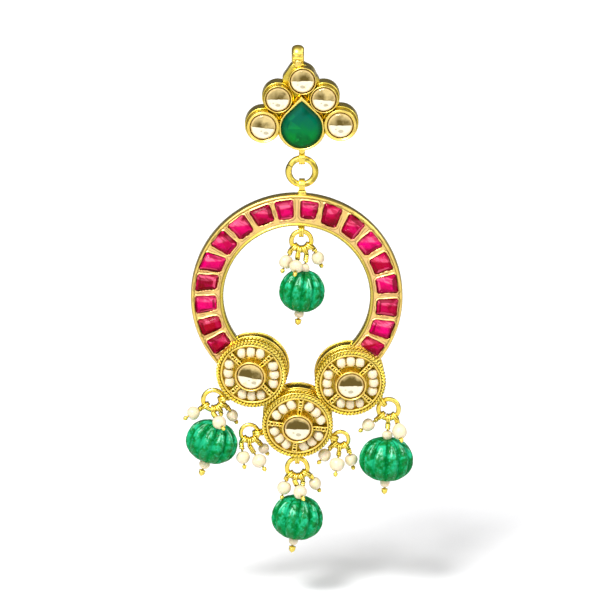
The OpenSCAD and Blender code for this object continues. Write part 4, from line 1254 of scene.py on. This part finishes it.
def melon_shell(pin, beads):
    """A carved bead: radius times sine of the polar angle to the power 0.82, less the grooves between the
    lobes, a row of fine slanting veins and a spine cut into each lobe. Per point it carries the painted shade
    of the cuts, the seams between lobes, and two painted highlight strokes that part from each lobe's spine
    near the top."""
    t = np.radians(np.linspace(7, 173, 84))[:, None]
    a = np.linspace(0, FULL_TURN, beads.flutes * 24, endpoint=False)[None]
    lobe = np.abs(np.sin(beads.flutes * a / 2))
    lobe_number, across = np.divmod(beads.flutes * a / FULL_TURN, 1)
    across = across - 0.5
    slant = np.abs(np.sin(math.pi * (4 * t / math.pi - 1.5 * np.abs(across) + 0.1)))
    veins = (1 - slant) ** 3 * ease(np.sin(t), 0.35, 0.8) * ease(0.5 - np.abs(across), 0.04, 0.2)
    spine = hill(across, 0, 0.07) * ease(np.sin(t), 0.3, 0.7) * ease(np.cos(t), -0.2, 0.5)
    reach = pin.radius * np.sin(t) ** 0.82 * (1 - 0.15 * np.sin(t) * (1 - lobe))
    reach = reach - beads.vein / MM * (veins + spine)
    grid = np.stack([reach * np.cos(a), reach * np.sin(a), pin.half * np.cos(t) + 0 * a], -1)
    top, low = (np.stack([0.3 * np.cos(a), 0.3 * np.sin(a), sign * (pin.half - 0.4) + 0 * a], -1)
                for sign in (1, -1))
    grid = np.concatenate([top, grid, low])

    # Painted shade for the cuts.
    cut = np.clip(0.8 * (1 - lobe) ** 2 * ease(t, 2.6, 0.4) + 0.35 * veins + 0.3 * spine, 0, 1)
    cut = np.pad(cut, ((2, 2), (0, 0)), constant_values=1.0)
    seam = np.clip((1 - lobe) ** 2 + 0.5 * veins, 0, 1)
    # Painted highlights: two pale strokes on each lobe near the top.
    draws = np.random.default_rng(int(100 * pin.radius)).random((3, beads.flutes))
    shift, left, right = draws[:, lobe_number[0].astype(int)]
    start = 0.42 + 0.28 * shift
    fleck = hill(np.abs(across) - 0.03 - 0.28 * (t - start), 0, 0.07)
    fleck = fleck * ease(t - start, -0.04, 0.08) * ease(start - t, -0.66, -0.42)
    fleck = fleck * (0.25 + 0.75 * np.where(across < 0, left, right))
    place = spot_along(bead_centre(pin), -pin_line(pin)[3])
    return Shell(put(poles(grid), place), groove=cut, along=np.linspace(1, -1, len(cut))[:, None],
                 seam=capped(seam, 2), fleck=capped(fleck, 2))


class EARRING_OT_melons(bpy.types.Operator):
    """Make the four carved melon beads"""
    bl_idname = "earring.melons"
    bl_label = "Carved beads"

    def execute(self, context):
        beads = context.scene.earring_beads
        finish = melon_finish(beads)
        for pin in MELON_PINS:
            make_piece(f"carved_{pin.ring}", [melon_shell(pin, beads)], finish, "drop",
                       [f"melon_{pin.ring}"])
        return {"FINISHED"}


# Stage

def look_at(place, target):
    """A turn that points an object's -Z from its place to a target, with Y up."""
    return (Vector(target) - Vector(place)).to_track_quat("-Z", "Y").to_euler()


def studio(strength):
    """A dim room with a broad window in front above and a narrow one on the right; the camera itself
    sees a plain pale wall."""
    p = Paint(bpy.data.worlds.new("studio"))
    x, y, z = p.parts(Flow(p, p.node("ShaderNodeTexCoord").outputs["Generated"]))
    dome = z.step(0.0, 0.95, 0.10, 0.60)
    front = (x * -0.30 + y * -0.72 + z * 0.62).step(0.72, 0.94)
    right = (x * 0.86 + y * -0.36 + z * 0.36).step(0.86, 0.97)
    seen, mirrored = p.ray("Is Camera Ray"), p.ray("Is Glossy Ray")
    behind = 1.0 - mirrored * y.step(-0.15, 0.45) * 0.66
    light = (dome + mirrored * 0.22 + front * (1.0 + mirrored * 0.8) + right * 0.8) * behind * strength
    shader = p.node("ShaderNodeBackground", None, {"Strength": seen * 0.96 + (1.0 - seen) * light})
    p.node("ShaderNodeOutputWorld", None, {0: Flow(p, shader.outputs[0])})
    return p.block


def floor_finish(tint):
    """Pale matt floor with faint specks. In reflections it is darker, most of all behind the earring."""
    p = new_finish("floor")
    speck = p.noise(0.5, 2.0)
    near, far, shade = (tuple(share * c for c in tint) for share in (0.80, 0.28, 0.97))
    mirrored = p.mix(near, far, p.parts(p.place())[1].step(-0.03, 0.12))
    seen = p.mix(p.mix(tint, shade, speck), mirrored, p.ray("Is Glossy Ray"))
    return p.finish(Base_Color=seen, Roughness=0.6, Specular_IOR_Level=0.0, Normal=p.bump(speck, 0.01))


def add(name, data, place=(0, 0, 0), target=None):
    """An object for its data, turned towards a target where one is given."""
    made = bpy.data.objects.new(name, data)
    made.location = place
    if target:
        made.rotation_euler = look_at(place, target)
    bpy.context.scene.collection.objects.link(made)
    return made


class EARRING_OT_stage(bpy.types.Operator):
    """Make the floor, the lights and the camera"""
    bl_idname = "earring.stage"
    bl_label = "Floor, lights and camera"

    def execute(self, context):
        stage = context.scene.earring_stage
        level = CAD_LOW[2] / MM - stage.floor_drop / MM
        turn = np.linspace(0, FULL_TURN, FLOOR_CORNERS, endpoint=False)
        ring = np.stack([FLOOR_R * np.cos(turn), FLOOR_R * np.sin(turn), level + 0 * turn], -1) * MM
        mesh = bpy.data.meshes.new("floor")
        mesh.from_pydata(ring.tolist(), [], [list(range(FLOOR_CORNERS))])
        mesh.materials.append(floor_finish(stage.floor))
        add("floor", mesh)

        context.scene.world = studio(stage.sky)
        for name, kind, power, size, place in (
                ("key", "SUN", stage.sun, math.radians(18), (-0.5, -0.9, 1.3)),
                ("fill", "SUN", 0.5, math.radians(40), (0.9, -0.8, 0.7)),
                ("front_box", "AREA", 3.4, 0.22, (-0.60, -1.20, 0.75)),
                ("rim_box", "AREA", 2.4, 0.50, (0.96, 0.3, 0.7))):
            light = bpy.data.lights.new(name, kind)
            light.energy = power
            if kind == "SUN":
                light.angle = size
            else:
                light.size, light.shape = size, "SQUARE"
            add(name, light, place, PICTURE_MIDDLE).visible_camera = False

        camera = bpy.data.cameras.new("camera")
        camera.lens = stage.lens
        camera.clip_start, camera.clip_end = 0.01, 20.0
        away = stage.view_width * camera.lens / camera.sensor_width
        x, y, z = PICTURE_MIDDLE
        seat = (x, y - away * math.cos(stage.elevation), z + away * math.sin(stage.elevation))
        context.scene.camera = add("camera", camera, seat, PICTURE_MIDDLE)
        context.scene.view_settings.view_transform = "Standard"
        return {"FINISHED"}


GROUPS = {"earring_gold": EarringGold, "earring_stones": EarringStones, "earring_beads": EarringBeads,
          "earring_stage": EarringStage}
STEPS = [EARRING_OT_stud, EARRING_OT_post, EARRING_OT_stud_stones, EARRING_OT_link, EARRING_OT_hoop,
         EARRING_OT_rubies, EARRING_OT_rosette_stones, EARRING_OT_rings, EARRING_OT_pins, EARRING_OT_pearls,
         EARRING_OT_melons, EARRING_OT_stage]


class EARRING_PT_panel(bpy.types.Panel):
    """Lists the earring's pieces and their settings"""
    bl_label = "Kundan earring"
    bl_idname = "EARRING_PT_panel"
    bl_space_type = "VIEW_3D"
    bl_region_type = "UI"
    bl_category = "Earring"

    def draw(self, context):
        for step in STEPS:
            self.layout.operator(step.bl_idname)
        for name, group in GROUPS.items():
            box = self.layout.box()
            for key in group.__annotations__:
                box.prop(getattr(context.scene, name), key)


def register():
    """Registers the settings, the operators and the panel."""
    for name, group in GROUPS.items():
        bpy.utils.register_class(group)
        setattr(bpy.types.Scene, name, bpy.props.PointerProperty(type=group))
    for step in [*STEPS, EARRING_PT_panel]:
        bpy.utils.register_class(step)


def unregister():
    """Takes all of it out again."""
    for step in reversed([*STEPS, EARRING_PT_panel]):
        bpy.utils.unregister_class(step)
    for name, group in reversed(GROUPS.items()):
        delattr(bpy.types.Scene, name)
        bpy.utils.unregister_class(group)


def main():
    """Makes every piece in order."""
    register()
    for step in STEPS:
        area, call = step.bl_idname.split(".")
        getattr(getattr(bpy.ops, area), call)()


if __name__ == "__main__":
    main()
